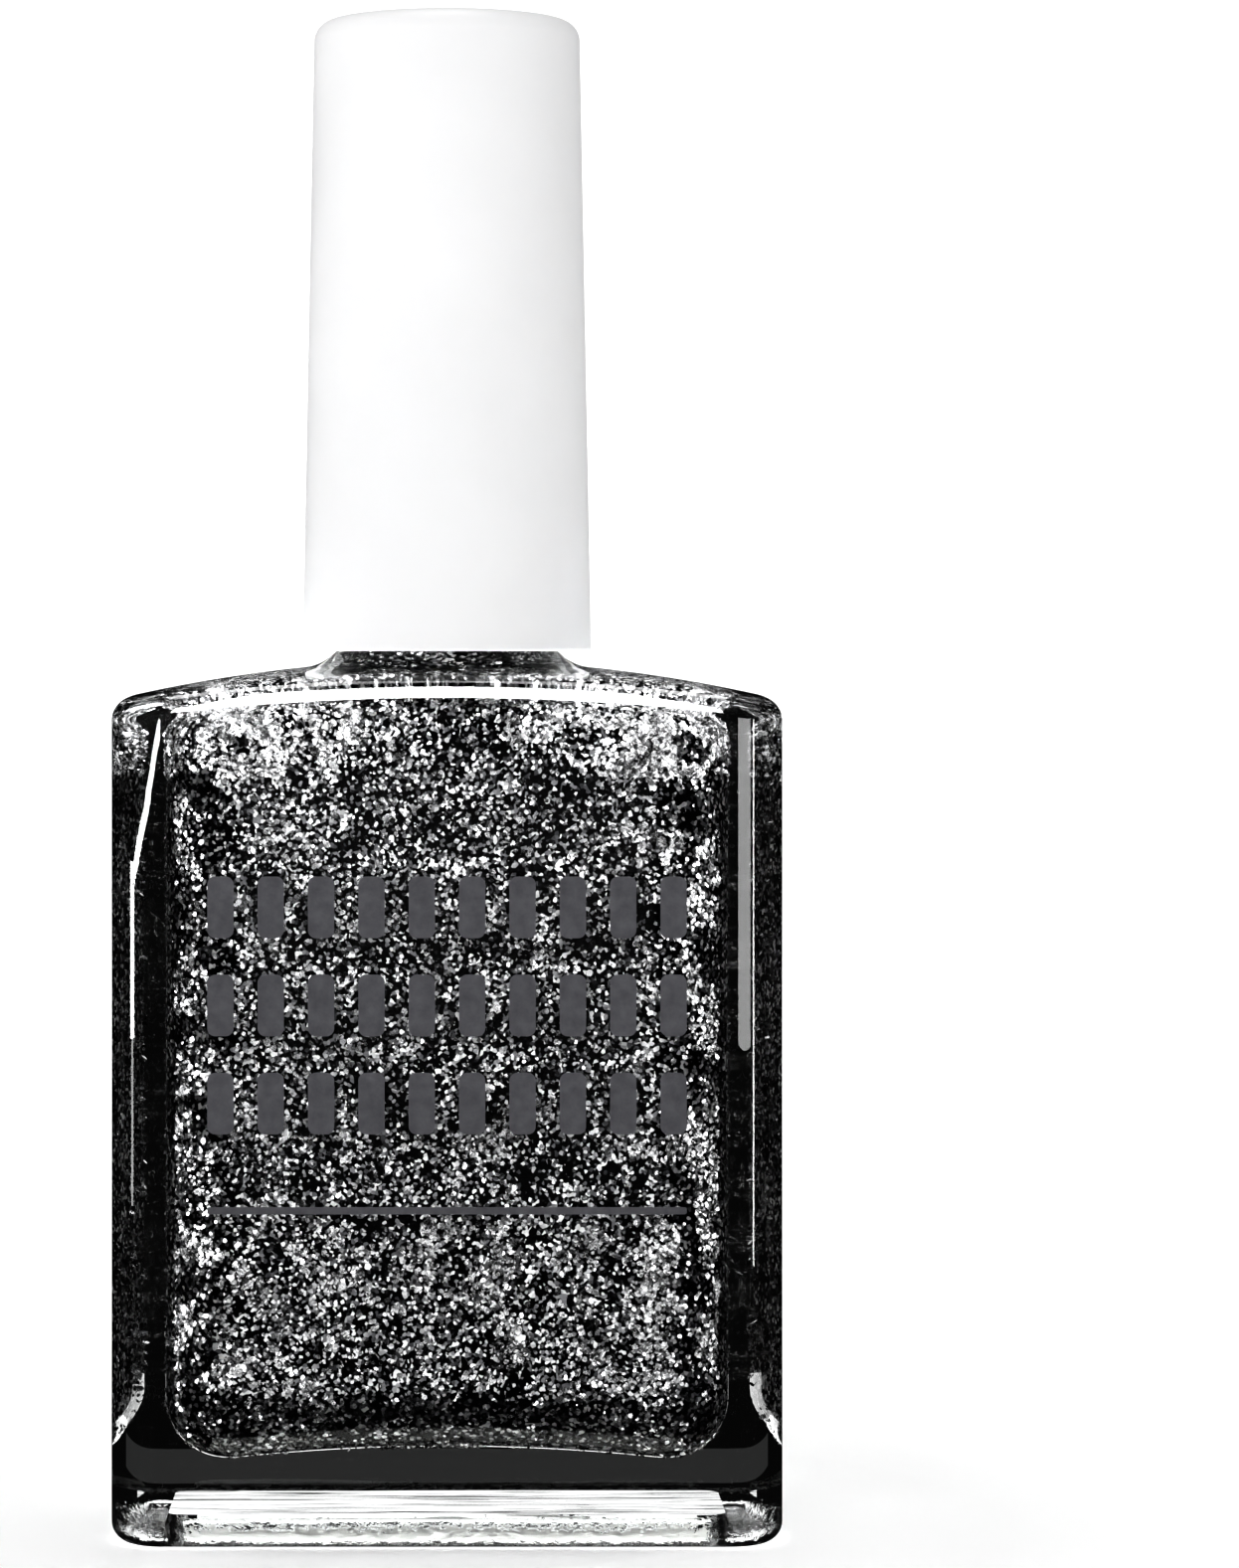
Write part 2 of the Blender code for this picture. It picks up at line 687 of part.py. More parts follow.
def main():
    clear_scene()
    parts = new_collection("nail_polish_bottle")
    cutters = new_collection("cutters")
    glass = material("clear_glass", (0.93, 0.95, 0.95), 0.02, transmission=1.0)
    lacquer = material("glitter_polish", (0.03, 0.03, 0.035), 0.25, metallic=0.3)
    white = material("white_plastic", (0.90, 0.90, 0.90), 0.45)
    natural = material("natural_plastic", (0.86, 0.86, 0.83), 0.40)
    foam = material("washer_foam", (0.92, 0.92, 0.90), 0.80)
    nylon = material("black_nylon", (0.02, 0.02, 0.02), 0.35)
    brass = material("staple_brass", (0.80, 0.65, 0.35), 0.30, metallic=1.0)
    steel = material("ball_steel", (0.75, 0.75, 0.77), 0.10, metallic=1.0)
    paper = material("label_paper", (0.95, 0.95, 0.94), 0.70)

    make_glass_bottle(parts, glass)
    make_nail_polish(parts, cutters, lacquer)
    make_mixing_balls(parts, steel)
    make_base_label(parts, paper)

    closure = empty("closure_axis", LIP_HEIGHT, parts)
    washer = make_sealing_washer(parts, foam)
    hang(washer, closure, LIP_HEIGHT + FIT_GAP)
    hang(make_overcap(parts, white), closure, RIM_HEIGHT)
    hang(make_inner_cap(parts, white), closure, RIM_HEIGHT)
    for made in (
        make_brush_stem(parts, cutters, natural),
        make_bristle_tuft(parts, cutters, nylon),
    ):
        hang(made, closure, 0.0)
    staple = make_brush_staple(parts, brass)
    hang(staple, closure, staple_height())
    bpy.context.view_layer.update()


main()
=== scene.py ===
import math

import bmesh
import bpy
import numpy as np
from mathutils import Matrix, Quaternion, Vector, noise


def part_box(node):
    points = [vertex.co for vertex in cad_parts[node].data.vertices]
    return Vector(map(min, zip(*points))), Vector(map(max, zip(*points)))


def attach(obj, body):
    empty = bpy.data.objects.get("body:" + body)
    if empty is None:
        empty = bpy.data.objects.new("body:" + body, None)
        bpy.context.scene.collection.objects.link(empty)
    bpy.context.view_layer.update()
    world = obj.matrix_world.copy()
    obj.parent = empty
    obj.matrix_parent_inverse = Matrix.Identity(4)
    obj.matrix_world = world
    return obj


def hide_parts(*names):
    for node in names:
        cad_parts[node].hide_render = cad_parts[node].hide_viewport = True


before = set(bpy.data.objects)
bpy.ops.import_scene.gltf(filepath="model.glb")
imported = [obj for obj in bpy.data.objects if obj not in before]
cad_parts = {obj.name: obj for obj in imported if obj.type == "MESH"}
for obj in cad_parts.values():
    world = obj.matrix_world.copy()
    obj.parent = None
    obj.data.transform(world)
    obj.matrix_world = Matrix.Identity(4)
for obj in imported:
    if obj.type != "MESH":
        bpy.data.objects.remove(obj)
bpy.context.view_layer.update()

# Sizes repeated from the CAD source -----------

BODY_WIDTH = 0.0373
BODY_DEPTH = 0.0190
CORNER_RADIUS = 0.0030
HEEL_RADIUS = 0.0012
EDGE_RADIUS = 0.0011
SHOULDER_PEAK = 0.0490
SHOULDER_RADIUS_X = 0.080
SHOULDER_RADIUS_Y = 0.045
SHOULDER_EASE = 29000.0  # lifts the shoulder's corners, in 1/m^3
SHOULDER_DROP = 0.0060  # below the shoulder's peak the walls are straight everywhere
BEARING_WIDTH = 0.0015
RECESS_DEPTH = 0.0016
RECESS_SLOPE = 0.0005
RECESS_CORNER = 0.0015

RIM_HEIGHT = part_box("overcap")[0].z
LIP_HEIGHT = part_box("glass_bottle")[1].z
POLISH_LEVEL = 0.0502
NECK_RADIUS = 0.00565
NECK_ROOT_RADIUS = 0.0024
NECK_START = 0.0520
LIP_RADIUS = 0.0005
BORE_RADIUS = 0.00395
THREAD_PITCH = 0.0254 / 12
THREAD_CREST = 0.0064
THREAD_BASE_HALF = 0.00070
THREAD_CREST_HALF = 0.00028
THREAD_FADE = 0.12  # of a turn, at each end
NECK_THREAD_START = 0.0550
NECK_THREAD_TURNS = 1.75

WALL = 0.0030
CAVITY_CORNER = 0.0042
CAVITY_TOP_RADIUS = 0.0010
BORE_FLARE_RADIUS = 0.0009
SHOULDER_THICKNESS = 0.0018
FLOOR_LOW = 0.0045
FLOOR_HUMP = 0.0006
FLOOR_HALF_SPAN = 0.0116
FLOOR_RADIUS = 0.0038
CAVITY_SIDE_LOW = 0.0015  # above the rounded floor's edge the cavity's sides are straight
CAVITY_SIDE_TOP = 0.0425

OVERCAP_HEIGHT = 0.0358
OVERCAP_RIM_RADIUS = 0.0082
OVERCAP_TOP_RADIUS = 0.00755
OVERCAP_EDGE_RADIUS = 0.00113
OVERCAP_TOP_THICKNESS = 0.0013
OVERCAP_SOCKET_RADIUS = 0.0074
OVERCAP_BORE_RADIUS = 0.0066
OVERCAP_LIP = 0.00018
CAP_GAP = 0.0003  # clear space between neighbouring pieces of the closure

INNER_CAP_RADIUS = 0.00715
INNER_CAP_BORE = 0.0067
INNER_CAP_POCKET_RADIUS = 0.0058
INNER_CAP_ROOF = 0.0012
INNER_CAP_HOLE = 0.0017
INNER_THREAD_CREST = 0.0065
INNER_THREAD_START = 0.0539
INNER_THREAD_TURNS = 1.5

STEM_TOP_RADIUS = 0.0022
STEM_WAIST_RADIUS = 0.0016
STEM_TIP_RADIUS = 0.0021
STEM_BARB_RADIUS = 0.0018
STEM_PIN_RADIUS = 0.0015
STEM_FLANGE_RADIUS = 0.0046
STEM_FLANGE_THICKNESS = 0.0008
STEM_TOP_LENGTH = 0.0080
STEM_TIP_LENGTH = 0.0050
STEM_EASE = 0.0030
SOCKET_RADIUS = 0.00155
SOCKET_DEPTH = 0.0036
TUFT_HALF_WIDTH = 0.0019
TUFT_HALF_THICKNESS = 0.00115
TUFT_SINK = 0.0012  # how far the bristles reach up into their socket

# Detail of the visual model -------------------

SHORT_STEPS = 6
CORNER_STEPS = 12
LONG_STEPS = 24
ROUND_STEPS = 128
ROOF_STEPS = 8
SHARP_ANGLE = math.radians(35)
SUPPORT_GAP = 0.0002  # a ring this close to a rounded edge keeps the shading of the flat beside it
THREAD_STEP = 0.0001
WETTING = 0.00003  # how far the polish is pressed into the glass, so that no air shows between
FLAKE_SIDES = 6
FLAKE_LIFT = 0.00004
FLAKE_RADIUS = (0.00009, 0.00027)
FLAKE_SIZES = (1.3, 3.0)  # of the beta distribution between the two radii
FLAKE_WOBBLE = 0.16
FLAKE_TILT = math.radians(24)
ROOF_FLAKE_TILT = math.radians(50)
BRUSH_FLAKE_TILT = math.radians(20)
MOST_TILT = math.radians(70)
CLUSTER_SIZE = 0.0021
CLUSTER_CONTRAST = 2.2
LEAST_CHANCE = 0.10  # that a flake stays in the gap between clusters
# how many flakes at each height: painted light and shade, fewest at the floor
PAINTED_LIGHT_HEIGHTS = (0.004, 0.008, 0.011, 0.016, 0.021, 0.032, 0.0385, 0.041, 0.0435, 0.046)
PAINTED_LIGHT_SHARES = (0.2, 0.8, 1.25, 1.2, 0.85, 0.62, 0.62, 0.5, 0.8, 1.0)
SHADE_HEIGHT = 0.0457  # of the painted shadow under the neck, a patch with fewer flakes
SHADE_SIZE = (0.0055, 0.0010)
# toward the corners more flakes are drawn, a painted highlight down both sides of the front
CORNER_START = 0.0095
CORNER_HIGHLIGHT = 1.1
# height and spread of the crest flakes, a painted highlight along the top of the walls
CREST_HEIGHT = 0.0455
CREST_SPREAD = 0.0018
BRISTLE_COUNT = 260
BRISTLE_RADIUS = 0.00005
BRISTLE_SIDES = 6
BRISTLE_STEPS = 9
BRISTLE_BEND = 0.86  # of the tuft's length, where the filaments begin to close to a tip
GOLDEN_ANGLE = 2.399963
BRUSH_FLAKE_COUNT = 900
BRUSH_FLAKE_RADIUS = (0.00008, 0.00017)
PRINT_ROWS = 3
PRINT_BLOCKS = 10
PRINT_PITCH = 0.002772
PRINT_ROW_PITCH = 0.0054
PRINT_TOP = 0.0354
PRINT_BLOCK_WIDTH = 0.00145
PRINT_BLOCK_HEIGHT = 0.0034
PRINT_RULE_Z = 0.0187
PRINT_RULE_HEIGHT = 0.0004
PRINT_THICKNESS = 0.000018
PRINT_GAP = 0.000002

# Light and floor ------------------------------

MIDDLE = (0.0, 0.0, 0.035)
FLOOR_GAP = 0.00002
FLOOR_HALF_SIZE = 3.0
WHITE_FILL = 0.265  # what diffuse surfaces get from the surroundings
DARK_FILL = 0.005  # what reflections and the glass get from them


# Mesh helpers ---------------------------------


def new_piece(name, mesh, body, look, slot, *nodes):
    obj = bpy.data.objects.new(name, mesh)
    bpy.context.scene.collection.objects.link(obj)
    mesh.materials.clear()
    mesh.materials.append(look)
    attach(obj, body)
    if nodes:
        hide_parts(*nodes)
    return obj


def smooth(mesh):
    mesh.shade_smooth()
    mesh.set_sharp_from_angle(angle=SHARP_ANGLE)


def rounded_rectangle(half_x, half_y, radius):
    """An outline with a fixed number of points, so that rings of different sizes pair up."""
    quarter = [(half_x, (half_y - radius) * i / SHORT_STEPS) for i in range(SHORT_STEPS)]
    for i in range(CORNER_STEPS + 1):
        angle = math.pi / 2 * i / CORNER_STEPS
        x = half_x - radius + radius * math.cos(angle)
        y = half_y - radius + radius * math.sin(angle)
        quarter.append((x, y))
    for i in range(1, LONG_STEPS + 1):
        quarter.append(((half_x - radius) * (1 - i / LONG_STEPS), half_y))
    back = quarter[::-1]
    return (
        quarter[:-1]
        + [(-x, y) for x, y in back[:-1]]
        + [(-x, -y) for x, y in quarter[:-1]]
        + [(x, -y) for x, y in back[:-1]]
    )


def ring_angles():
    """The angles at which a circle pairs up with the body's outline."""
    half_x, half_y = BODY_WIDTH / 2, BODY_DEPTH / 2
    outline = rounded_rectangle(half_x, half_y, CORNER_RADIUS)
    return [math.atan2(y / half_y, x / half_x) for x, y in outline]


def circle(radius):
    return [(radius * math.cos(a), radius * math.sin(a)) for a in ring_angles()]


def between(start, end, share):
    return [
        (x0 + (x1 - x0) * share, y0 + (y1 - y0) * share)
        for (x0, y0), (x1, y1) in zip(start, end)
    ]


def lifted(outline, height):
    """The outline as a ring at one height, or at height(x, y)."""
    if callable(height):
        return [(x, y, height(x, y)) for x, y in outline]
    return [(x, y, height) for x, y in outline]


def shares(steps, first=0):
    return [i / steps for i in range(first, steps + 1)]


def quarter_turn(steps, first=0):
    """Sine and cosine at each step of a quarter turn."""
    angles = [math.pi / 2 * share for share in shares(steps, first)]
    return [(math.sin(angle), math.cos(angle)) for angle in angles]


def loft(name, rings):
    """A closed skin over a pile of rings, with a fan of faces over each end."""
    build = bmesh.new()
    loops = [[build.verts.new(point) for point in ring] for ring in rings]
    count = len(loops[0])
    for lower, upper in zip(loops, loops[1:]):
        for i in range(count):
            j = (i + 1) % count
            build.faces.new((lower[i], lower[j], upper[j], upper[i]))
    for loop, turned_over in ((loops[0], True), (loops[-1], False)):
        middle = build.verts.new([sum(v.co[k] for v in loop) / count for k in range(3)])
        for i in range(count):
            j = (i + 1) % count
            corners = (loop[j], loop[i], middle) if turned_over else (loop[i], loop[j], middle)
            build.faces.new(corners)
    mesh = bpy.data.meshes.new(name)
    build.to_mesh(mesh)
    build.free()
    smooth(mesh)
    return mesh


def turned(name, profile, height=0.0, steps=ROUND_STEPS, shape=None):
    """Turn (radius, height) points round the axis. A profile that starts on the axis is capped there,
    any other is closed from its last point to its first. shape(angle, radius, z) may change a radius."""
    build = bmesh.new()
    rows = []
    for radius, z in profile:
        z += height
        if radius <= 1e-7:
            rows.append([build.verts.new((0.0, 0.0, z))])
            continue
        row = []
        for i in range(steps):
            angle = 2 * math.pi * i / steps
            r = shape(angle, radius, z) if shape else radius
            row.append(build.verts.new((r * math.cos(angle), r * math.sin(angle), z)))
        rows.append(row)
    closed = len(rows[0]) > 1
    pairs = list(zip(rows, rows[1:]))
    if closed:
        pairs.append((rows[-1], rows[0]))
    for upper, lower in pairs:
        for i in range(steps):
            j = (i + 1) % steps
            if len(upper) == 1:
                build.faces.new((upper[0], lower[i], lower[j]))
            elif len(lower) == 1:
                build.faces.new((upper[i], lower[0], upper[j]))
            else:
                build.faces.new((upper[i], lower[i], lower[j], upper[j]))
    bmesh.ops.recalc_face_normals(build, faces=build.faces)
    mesh = bpy.data.meshes.new(name)
    build.to_mesh(mesh)
    build.free()
    smooth(mesh)
    return mesh


def arc(centre_radius, centre_height, radius, start, end, steps):
    """Profile points on an arc between two angles in degrees."""
    points = []
    for share in shares(steps):
        angle = math.radians(start + (end - start) * share)
        across, up = radius * math.cos(angle), radius * math.sin(angle)
        points.append((centre_radius + across, centre_height + up))
    return points


def line(start, end, steps):
    """Profile points from start to end, without the first."""
    return [
        (start[0] + (end[0] - start[0]) * s, start[1] + (end[1] - start[1]) * s)
        for s in shares(steps, first=1)
    ]


# Materials ------------------------------------


class Look:
    """A Principled material with short helpers for its procedural nodes."""

    def __init__(self, name, **values):
        self.material = bpy.data.materials.new(name)
        self.material.use_nodes = True
        self.nodes = self.material.node_tree.nodes
        self.links = self.material.node_tree.links
        self.shader = self.nodes["Principled BSDF"]
        for key, value in values.items():
            self.shader.inputs[key.replace("_", " ")].default_value = value
        self.place = self.nodes.new("ShaderNodeTexCoord").outputs["Object"]

    def noise(self, scale, detail=3.0, stretch=None, roughness=0.5):
        node = self.nodes.new("ShaderNodeTexNoise")
        node.inputs["Scale"].default_value = scale
        node.inputs["Detail"].default_value = detail
        node.inputs["Roughness"].default_value = roughness
        self.links.new(self.stretched(stretch), node.inputs["Vector"])
        return node.outputs["Fac"]

    def stretched(self, stretch):
        if stretch is None:
            return self.place
        node = self.nodes.new("ShaderNodeMapping")
        node.inputs["Scale"].default_value = stretch
        self.links.new(self.place, node.inputs["Vector"])
        return node.outputs["Vector"]

    def voronoi(self, scale, output="Color"):
        node = self.nodes.new("ShaderNodeTexVoronoi")
        node.inputs["Scale"].default_value = scale
        self.links.new(self.place, node.inputs["Vector"])
        return node.outputs[output]

    def cells(self, scale):
        """Three random values for each small cell."""
        node = self.nodes.new("ShaderNodeSeparateColor")
        self.links.new(self.voronoi(scale), node.inputs["Color"])
        return node.outputs

    def ramp(self, value, *stops):
        node = self.nodes.new("ShaderNodeValToRGB")
        elements = node.color_ramp.elements
        while len(elements) < len(stops):
            elements.new(0.5)
        for element, (position, colour) in zip(elements, stops):
            element.position = position
            element.color = (*colour, 1.0)
        self.links.new(value, node.inputs["Fac"])
        return node.outputs["Color"]

    def span(self, value, low, high):
        node = self.nodes.new("ShaderNodeMapRange")
        node.inputs["To Min"].default_value = low
        node.inputs["To Max"].default_value = high
        self.links.new(value, node.inputs["Value"])
        return node.outputs["Result"]

    def math(self, operation, a, b):
        node = self.nodes.new("ShaderNodeMath")
        node.operation = operation
        for socket, value in zip(node.inputs, (a, b)):
            if isinstance(value, (int, float)):
                socket.default_value = value
            else:
                self.links.new(value, socket)
        return node.outputs["Value"]

    def low_and_central(self, height, reach):
        """1 under the height and within the reach of the object's middle plane, 0 elsewhere."""
        split = self.nodes.new("ShaderNodeSeparateXYZ")
        self.links.new(self.place, split.inputs["Vector"])
        low = self.math("LESS_THAN", split.outputs["Z"], height)
        central = self.math("LESS_THAN", self.math("ABSOLUTE", split.outputs["Y"], 0.0), reach)
        return self.math("MULTIPLY", low, central)

    def set(self, socket, value):
        self.links.new(value, self.shader.inputs[socket])

    def mottle(self, value, dark, light, rough_low, rough_high):
        """Colour and roughness that both follow the value."""
        self.set("Base Color", self.ramp(value, (0.3, dark), (0.7, light)))
        self.set("Roughness", self.span(value, rough_low, rough_high))

    def scattering(self, *radii):
        """How far light goes under the surface, in metres for red, green and blue."""
        self.shader.inputs["Subsurface Radius"].default_value = radii
        self.shader.inputs["Subsurface Scale"].default_value = 1.0

    def bump(self, height, distance, strength):
        node = self.nodes.new("ShaderNodeBump")
        node.inputs["Strength"].default_value = strength
        node.inputs["Distance"].default_value = distance
        self.links.new(height, node.inputs["Height"])
        self.links.new(node.outputs["Normal"], self.shader.inputs["Normal"])


def grey(value, tint=0.0):
    return (value, value, value * (1 + tint))


def clear_glass():
    """Clear glass with a slight ripple, a stippled foot and mould streaks in the hollow of its base."""
    look = Look("clear_glass", Roughness=0.0, IOR=1.51, Transmission_Weight=1.0)
    ripple = look.noise(140.0, 2.0)
    tints = (0.3, (0.955, 0.97, 0.967)), (0.7, (0.975, 0.985, 0.982))
    look.set("Base Color", look.ramp(ripple, *tints))
    margin = 0.0002
    foot = look.low_and_central(RECESS_DEPTH - margin, BODY_DEPTH)
    stipple = look.math("MULTIPLY", look.noise(1700.0, 3.0), foot)
    hollow_reach = BODY_DEPTH / 2 - HEEL_RADIUS - BEARING_WIDTH
    hollow = look.low_and_central(RECESS_DEPTH + margin, hollow_reach)
    streaks = look.math("MULTIPLY", look.noise(1100.0, 2.0, stretch=(0.05, 1.0, 1.0)), hollow)
    rough = look.math("ADD", stipple, look.math("MULTIPLY", streaks, 0.8))
    look.bump(look.math("ADD", look.math("MULTIPLY", ripple, 0.1), rough), 0.0002, 0.4)
    return look.material


def lacquer():
    """Black lacquer with fine silver flakes down in it."""
    finish = {"Specular_IOR_Level": 0.0, "Coat_Weight": 1.0, "Coat_Roughness": 0.05}
    look = Look("black_glitter_lacquer", Roughness=0.35, **finish)
    cell = look.cells(5200.0)
    clump = look.noise(420.0, 2.0)
    chance = look.math("ADD", cell["Red"], look.span(clump, -0.22, 0.22))
    black, dark = (0.60, grey(0.002, 0.1)), (0.70, grey(0.03, 0.05))
    middle, bright = (0.84, grey(0.15, 0.03)), (0.97, grey(0.60))
    look.set("Base Color", look.ramp(chance, black, dark, middle, bright))
    look.set("Metallic", look.ramp(chance, (0.58, grey(0.0)), (0.70, grey(0.9))))
    look.bump(cell["Green"], 0.00008, 0.8)
    return look.material


def silver_flakes(name, shade_low, shade_high):
    """Silver flakes, each with its own tone, in swirls between the two shades."""
    look = Look(name, Metallic=1.0, Roughness=0.2)
    cell = look.cells(2600.0)
    swirl = look.span(look.noise(330.0, 3.0, roughness=0.62), shade_low, shade_high)
    shade = look.math("MULTIPLY", look.span(cell["Red"], 0.6, 1.0), swirl)
    look.set("Base Color", look.ramp(shade, (0.0, grey(0.06, 0.04)), (1.0, grey(0.98, 0.01))))
    look.set("Roughness", look.span(cell["Blue"], 0.08, 0.24))
    return look.material


def satin_white():
    look = Look("satin_white_plastic", Specular_IOR_Level=0.42, Subsurface_Weight=0.08)
    look.scattering(0.0012, 0.0011, 0.0010)
    cloud = look.noise(90.0, 4.0)
    look.mottle(cloud, (0.86, 0.86, 0.865), (0.90, 0.90, 0.905), 0.42, 0.54)
    look.bump(look.noise(9000.0, 2.0), 0.000006, 0.5)
    return look.material


def inner_white():
    look = Look("inner_white_plastic", Specular_IOR_Level=0.45)
    cloud = look.noise(260.0, 4.0)
    look.mottle(cloud, (0.80, 0.80, 0.79), (0.86, 0.86, 0.85), 0.38, 0.52)
    look.bump(look.noise(5000.0, 2.0), 0.00001, 0.4)
    return look.material


def foam():
    look = Look("washer_foam", Specular_IOR_Level=0.25)
    pores = look.voronoi(6500.0, "Distance")
    look.set("Base Color", look.ramp(pores, (0.0, (0.70, 0.70, 0.68)), (0.5, (0.90, 0.90, 0.88))))
    look.set("Roughness", look.span(pores, 0.9, 0.7))
    look.bump(pores, 0.00006, 0.6)
    return look.material


def natural_plastic():
    look = Look("natural_plastic", Subsurface_Weight=0.25, Specular_IOR_Level=0.5)
    look.scattering(0.0015, 0.0014, 0.0011)
    cloud = look.noise(400.0, 3.0, stretch=(1.0, 1.0, 0.25))
    look.mottle(cloud, (0.78, 0.78, 0.74), (0.84, 0.84, 0.80), 0.28, 0.42)
    look.bump(cloud, 0.00002, 0.3)
    return look.material


def bristle_nylon():
    look = Look("black_nylon", Specular_IOR_Level=0.6)
    streak = look.noise(3000.0, 3.0, stretch=(1.0, 1.0, 0.05))
    look.mottle(streak, grey(0.010), grey(0.035), 0.22, 0.45)
    return look.material


def steel():
    look = Look("polished_steel", Metallic=1.0)
    haze = look.noise(700.0, 5.0)
    look.mottle(haze, grey(0.62, 0.02), grey(0.72, 0.02), 0.06, 0.18)
    return look.material


def brass():
    look = Look("staple_brass", Metallic=1.0)
    haze = look.noise(2500.0, 4.0, stretch=(0.1, 1.0, 1.0))
    look.mottle(haze, (0.72, 0.55, 0.28), (0.86, 0.70, 0.40), 0.22, 0.38)
    return look.material


def paper():
    look = Look("label_paper", Specular_IOR_Level=0.2)
    fibre = look.noise(2200.0, 6.0, stretch=(1.0, 0.35, 1.0), roughness=0.7)
    look.mottle(fibre, (0.86, 0.86, 0.84), (0.94, 0.94, 0.925), 0.85, 0.70)
    look.bump(fibre, 0.00002, 0.4)
    return look.material


def printed_ink():
    look = Look("printed_ink", Specular_IOR_Level=0.35)
    cloud = look.noise(1500.0, 4.0, roughness=0.65)
    look.mottle(cloud, (0.106, 0.106, 0.116), (0.150, 0.150, 0.162), 0.45, 0.62)
    look.bump(cloud, 0.000008, 0.5)
    return look.material


# Bottle ---------------------------------------


def shoulder(x, y):
    """The height of the shoulder, domed across the width and the depth."""
    fall = x * x / (2 * SHOULDER_RADIUS_X) + y * y / (2 * SHOULDER_RADIUS_Y)
    return SHOULDER_PEAK - fall + SHOULDER_EASE * x * x * y * y


def inner_shoulder(x, y):
    return shoulder(x, y) - SHOULDER_THICKNESS


def cavity_floor(x, _y):
    return FLOOR_LOW + FLOOR_HUMP * (1 - (x / FLOOR_HALF_SPAN) ** 2)


def body_outline(inset):
    return rounded_rectangle(BODY_WIDTH / 2 - inset, BODY_DEPTH / 2 - inset, CORNER_RADIUS - inset)


def cavity_outline(inset):
    inset_total = WALL + inset
    return rounded_rectangle(
        BODY_WIDTH / 2 - inset_total, BODY_DEPTH / 2 - inset_total, CAVITY_CORNER - inset
    )


def thread_share(angle, height, start, turns):
    """How much of the thread's ridge stands at this place, from 0 to 1."""
    best = 0.0
    first = (angle / (2 * math.pi)) % 1.0
    for whole in range(int(turns) + 1):
        progress = first + whole
        if progress > turns:
            continue
        offset = abs(height - start - THREAD_PITCH * progress)
        flank = (THREAD_BASE_HALF - offset) / (THREAD_BASE_HALF - THREAD_CREST_HALF)
        flank = max(0.0, min(1.0, flank))
        flank = flank * flank * (3 - 2 * flank)
        fade = min(progress, turns - progress) / THREAD_FADE
        best = max(best, flank * min(1.0, fade))
    return best


def underside_rings():
    """The hollow under the base, down to the ring that the bottle stands on."""
    inset = HEEL_RADIUS + BEARING_WIDTH
    outer = rounded_rectangle(BODY_WIDTH / 2 - inset, BODY_DEPTH / 2 - inset, RECESS_CORNER)
    inset += RECESS_SLOPE
    inner = rounded_rectangle(
        BODY_WIDTH / 2 - inset, BODY_DEPTH / 2 - inset, RECESS_CORNER - RECESS_SLOPE / 2
    )
    ceiling = [(x * 0.9, y * 0.9) for x, y in inner]
    return [lifted(ceiling, RECESS_DEPTH), lifted(inner, RECESS_DEPTH), lifted(outer, 0.0)]


def wall_rings():
    rings = []
    for sine, cosine in quarter_turn(8):
        rings.append(lifted(body_outline(HEEL_RADIUS * (1 - sine)), HEEL_RADIUS * (1 - cosine)))
    side = body_outline(0.0)
    low, high = HEEL_RADIUS + SUPPORT_GAP, SHOULDER_PEAK - SHOULDER_DROP
    for share in shares(8):
        rings.append(lifted(side, low + (high - low) * share))
    rings.append(lifted(side, lambda x, y: shoulder(x, y) - EDGE_RADIUS - SUPPORT_GAP))
    for sine, cosine in quarter_turn(10):
        drop = EDGE_RADIUS * (1 - sine)
        outline = body_outline(EDGE_RADIUS * (1 - cosine))
        rings.append(lifted(outline, lambda x, y, drop=drop: shoulder(x, y) - drop))
    return rings


def shoulder_rings():
    edge = body_outline(EDGE_RADIUS)
    root = circle(NECK_RADIUS + NECK_ROOT_RADIUS)
    rings = [lifted(between(edge, root, share), shoulder) for share in shares(12, first=1)]
    for sine, cosine in quarter_turn(10, first=1):
        rise = NECK_ROOT_RADIUS * (1 - cosine)
        outline = circle(NECK_RADIUS + NECK_ROOT_RADIUS * (1 - sine))
        rings.append(lifted(outline, lambda x, y, rise=rise: shoulder(x, y) + rise))
    return rings


def neck_rings():
    rings = []
    angles = ring_angles()
    depth = THREAD_CREST - NECK_RADIUS
    top = LIP_HEIGHT - LIP_RADIUS
    steps = round((top - NECK_START) / THREAD_STEP)
    for share in shares(steps):
        height = NECK_START + (top - NECK_START) * share
        ring = []
        for angle in angles:
            ridge = thread_share(angle, height, NECK_THREAD_START, NECK_THREAD_TURNS)
            radius = NECK_RADIUS + depth * ridge
            ring.append((radius * math.cos(angle), radius * math.sin(angle), height))
        rings.append(ring)
    for sine, cosine in quarter_turn(6, first=1):
        outline = circle(NECK_RADIUS - LIP_RADIUS * (1 - cosine))
        rings.append(lifted(outline, top + LIP_RADIUS * sine))
    for sine, cosine in quarter_turn(6):
        outline = circle(BORE_RADIUS + LIP_RADIUS * (1 - sine))
        rings.append(lifted(outline, top + LIP_RADIUS * cosine))
    return rings


def bore_flare_rings(gap):
    """The rounding between the bore and the cavity's roof, from the top down."""
    rings = []
    reach = BORE_FLARE_RADIUS + gap
    for sine, cosine in quarter_turn(6):
        rise = BORE_FLARE_RADIUS - reach * sine
        outline = circle(BORE_RADIUS + BORE_FLARE_RADIUS - reach * cosine)
        rings.append(lifted(outline, lambda x, y, rise=rise: inner_shoulder(x, y) + rise))
    return rings


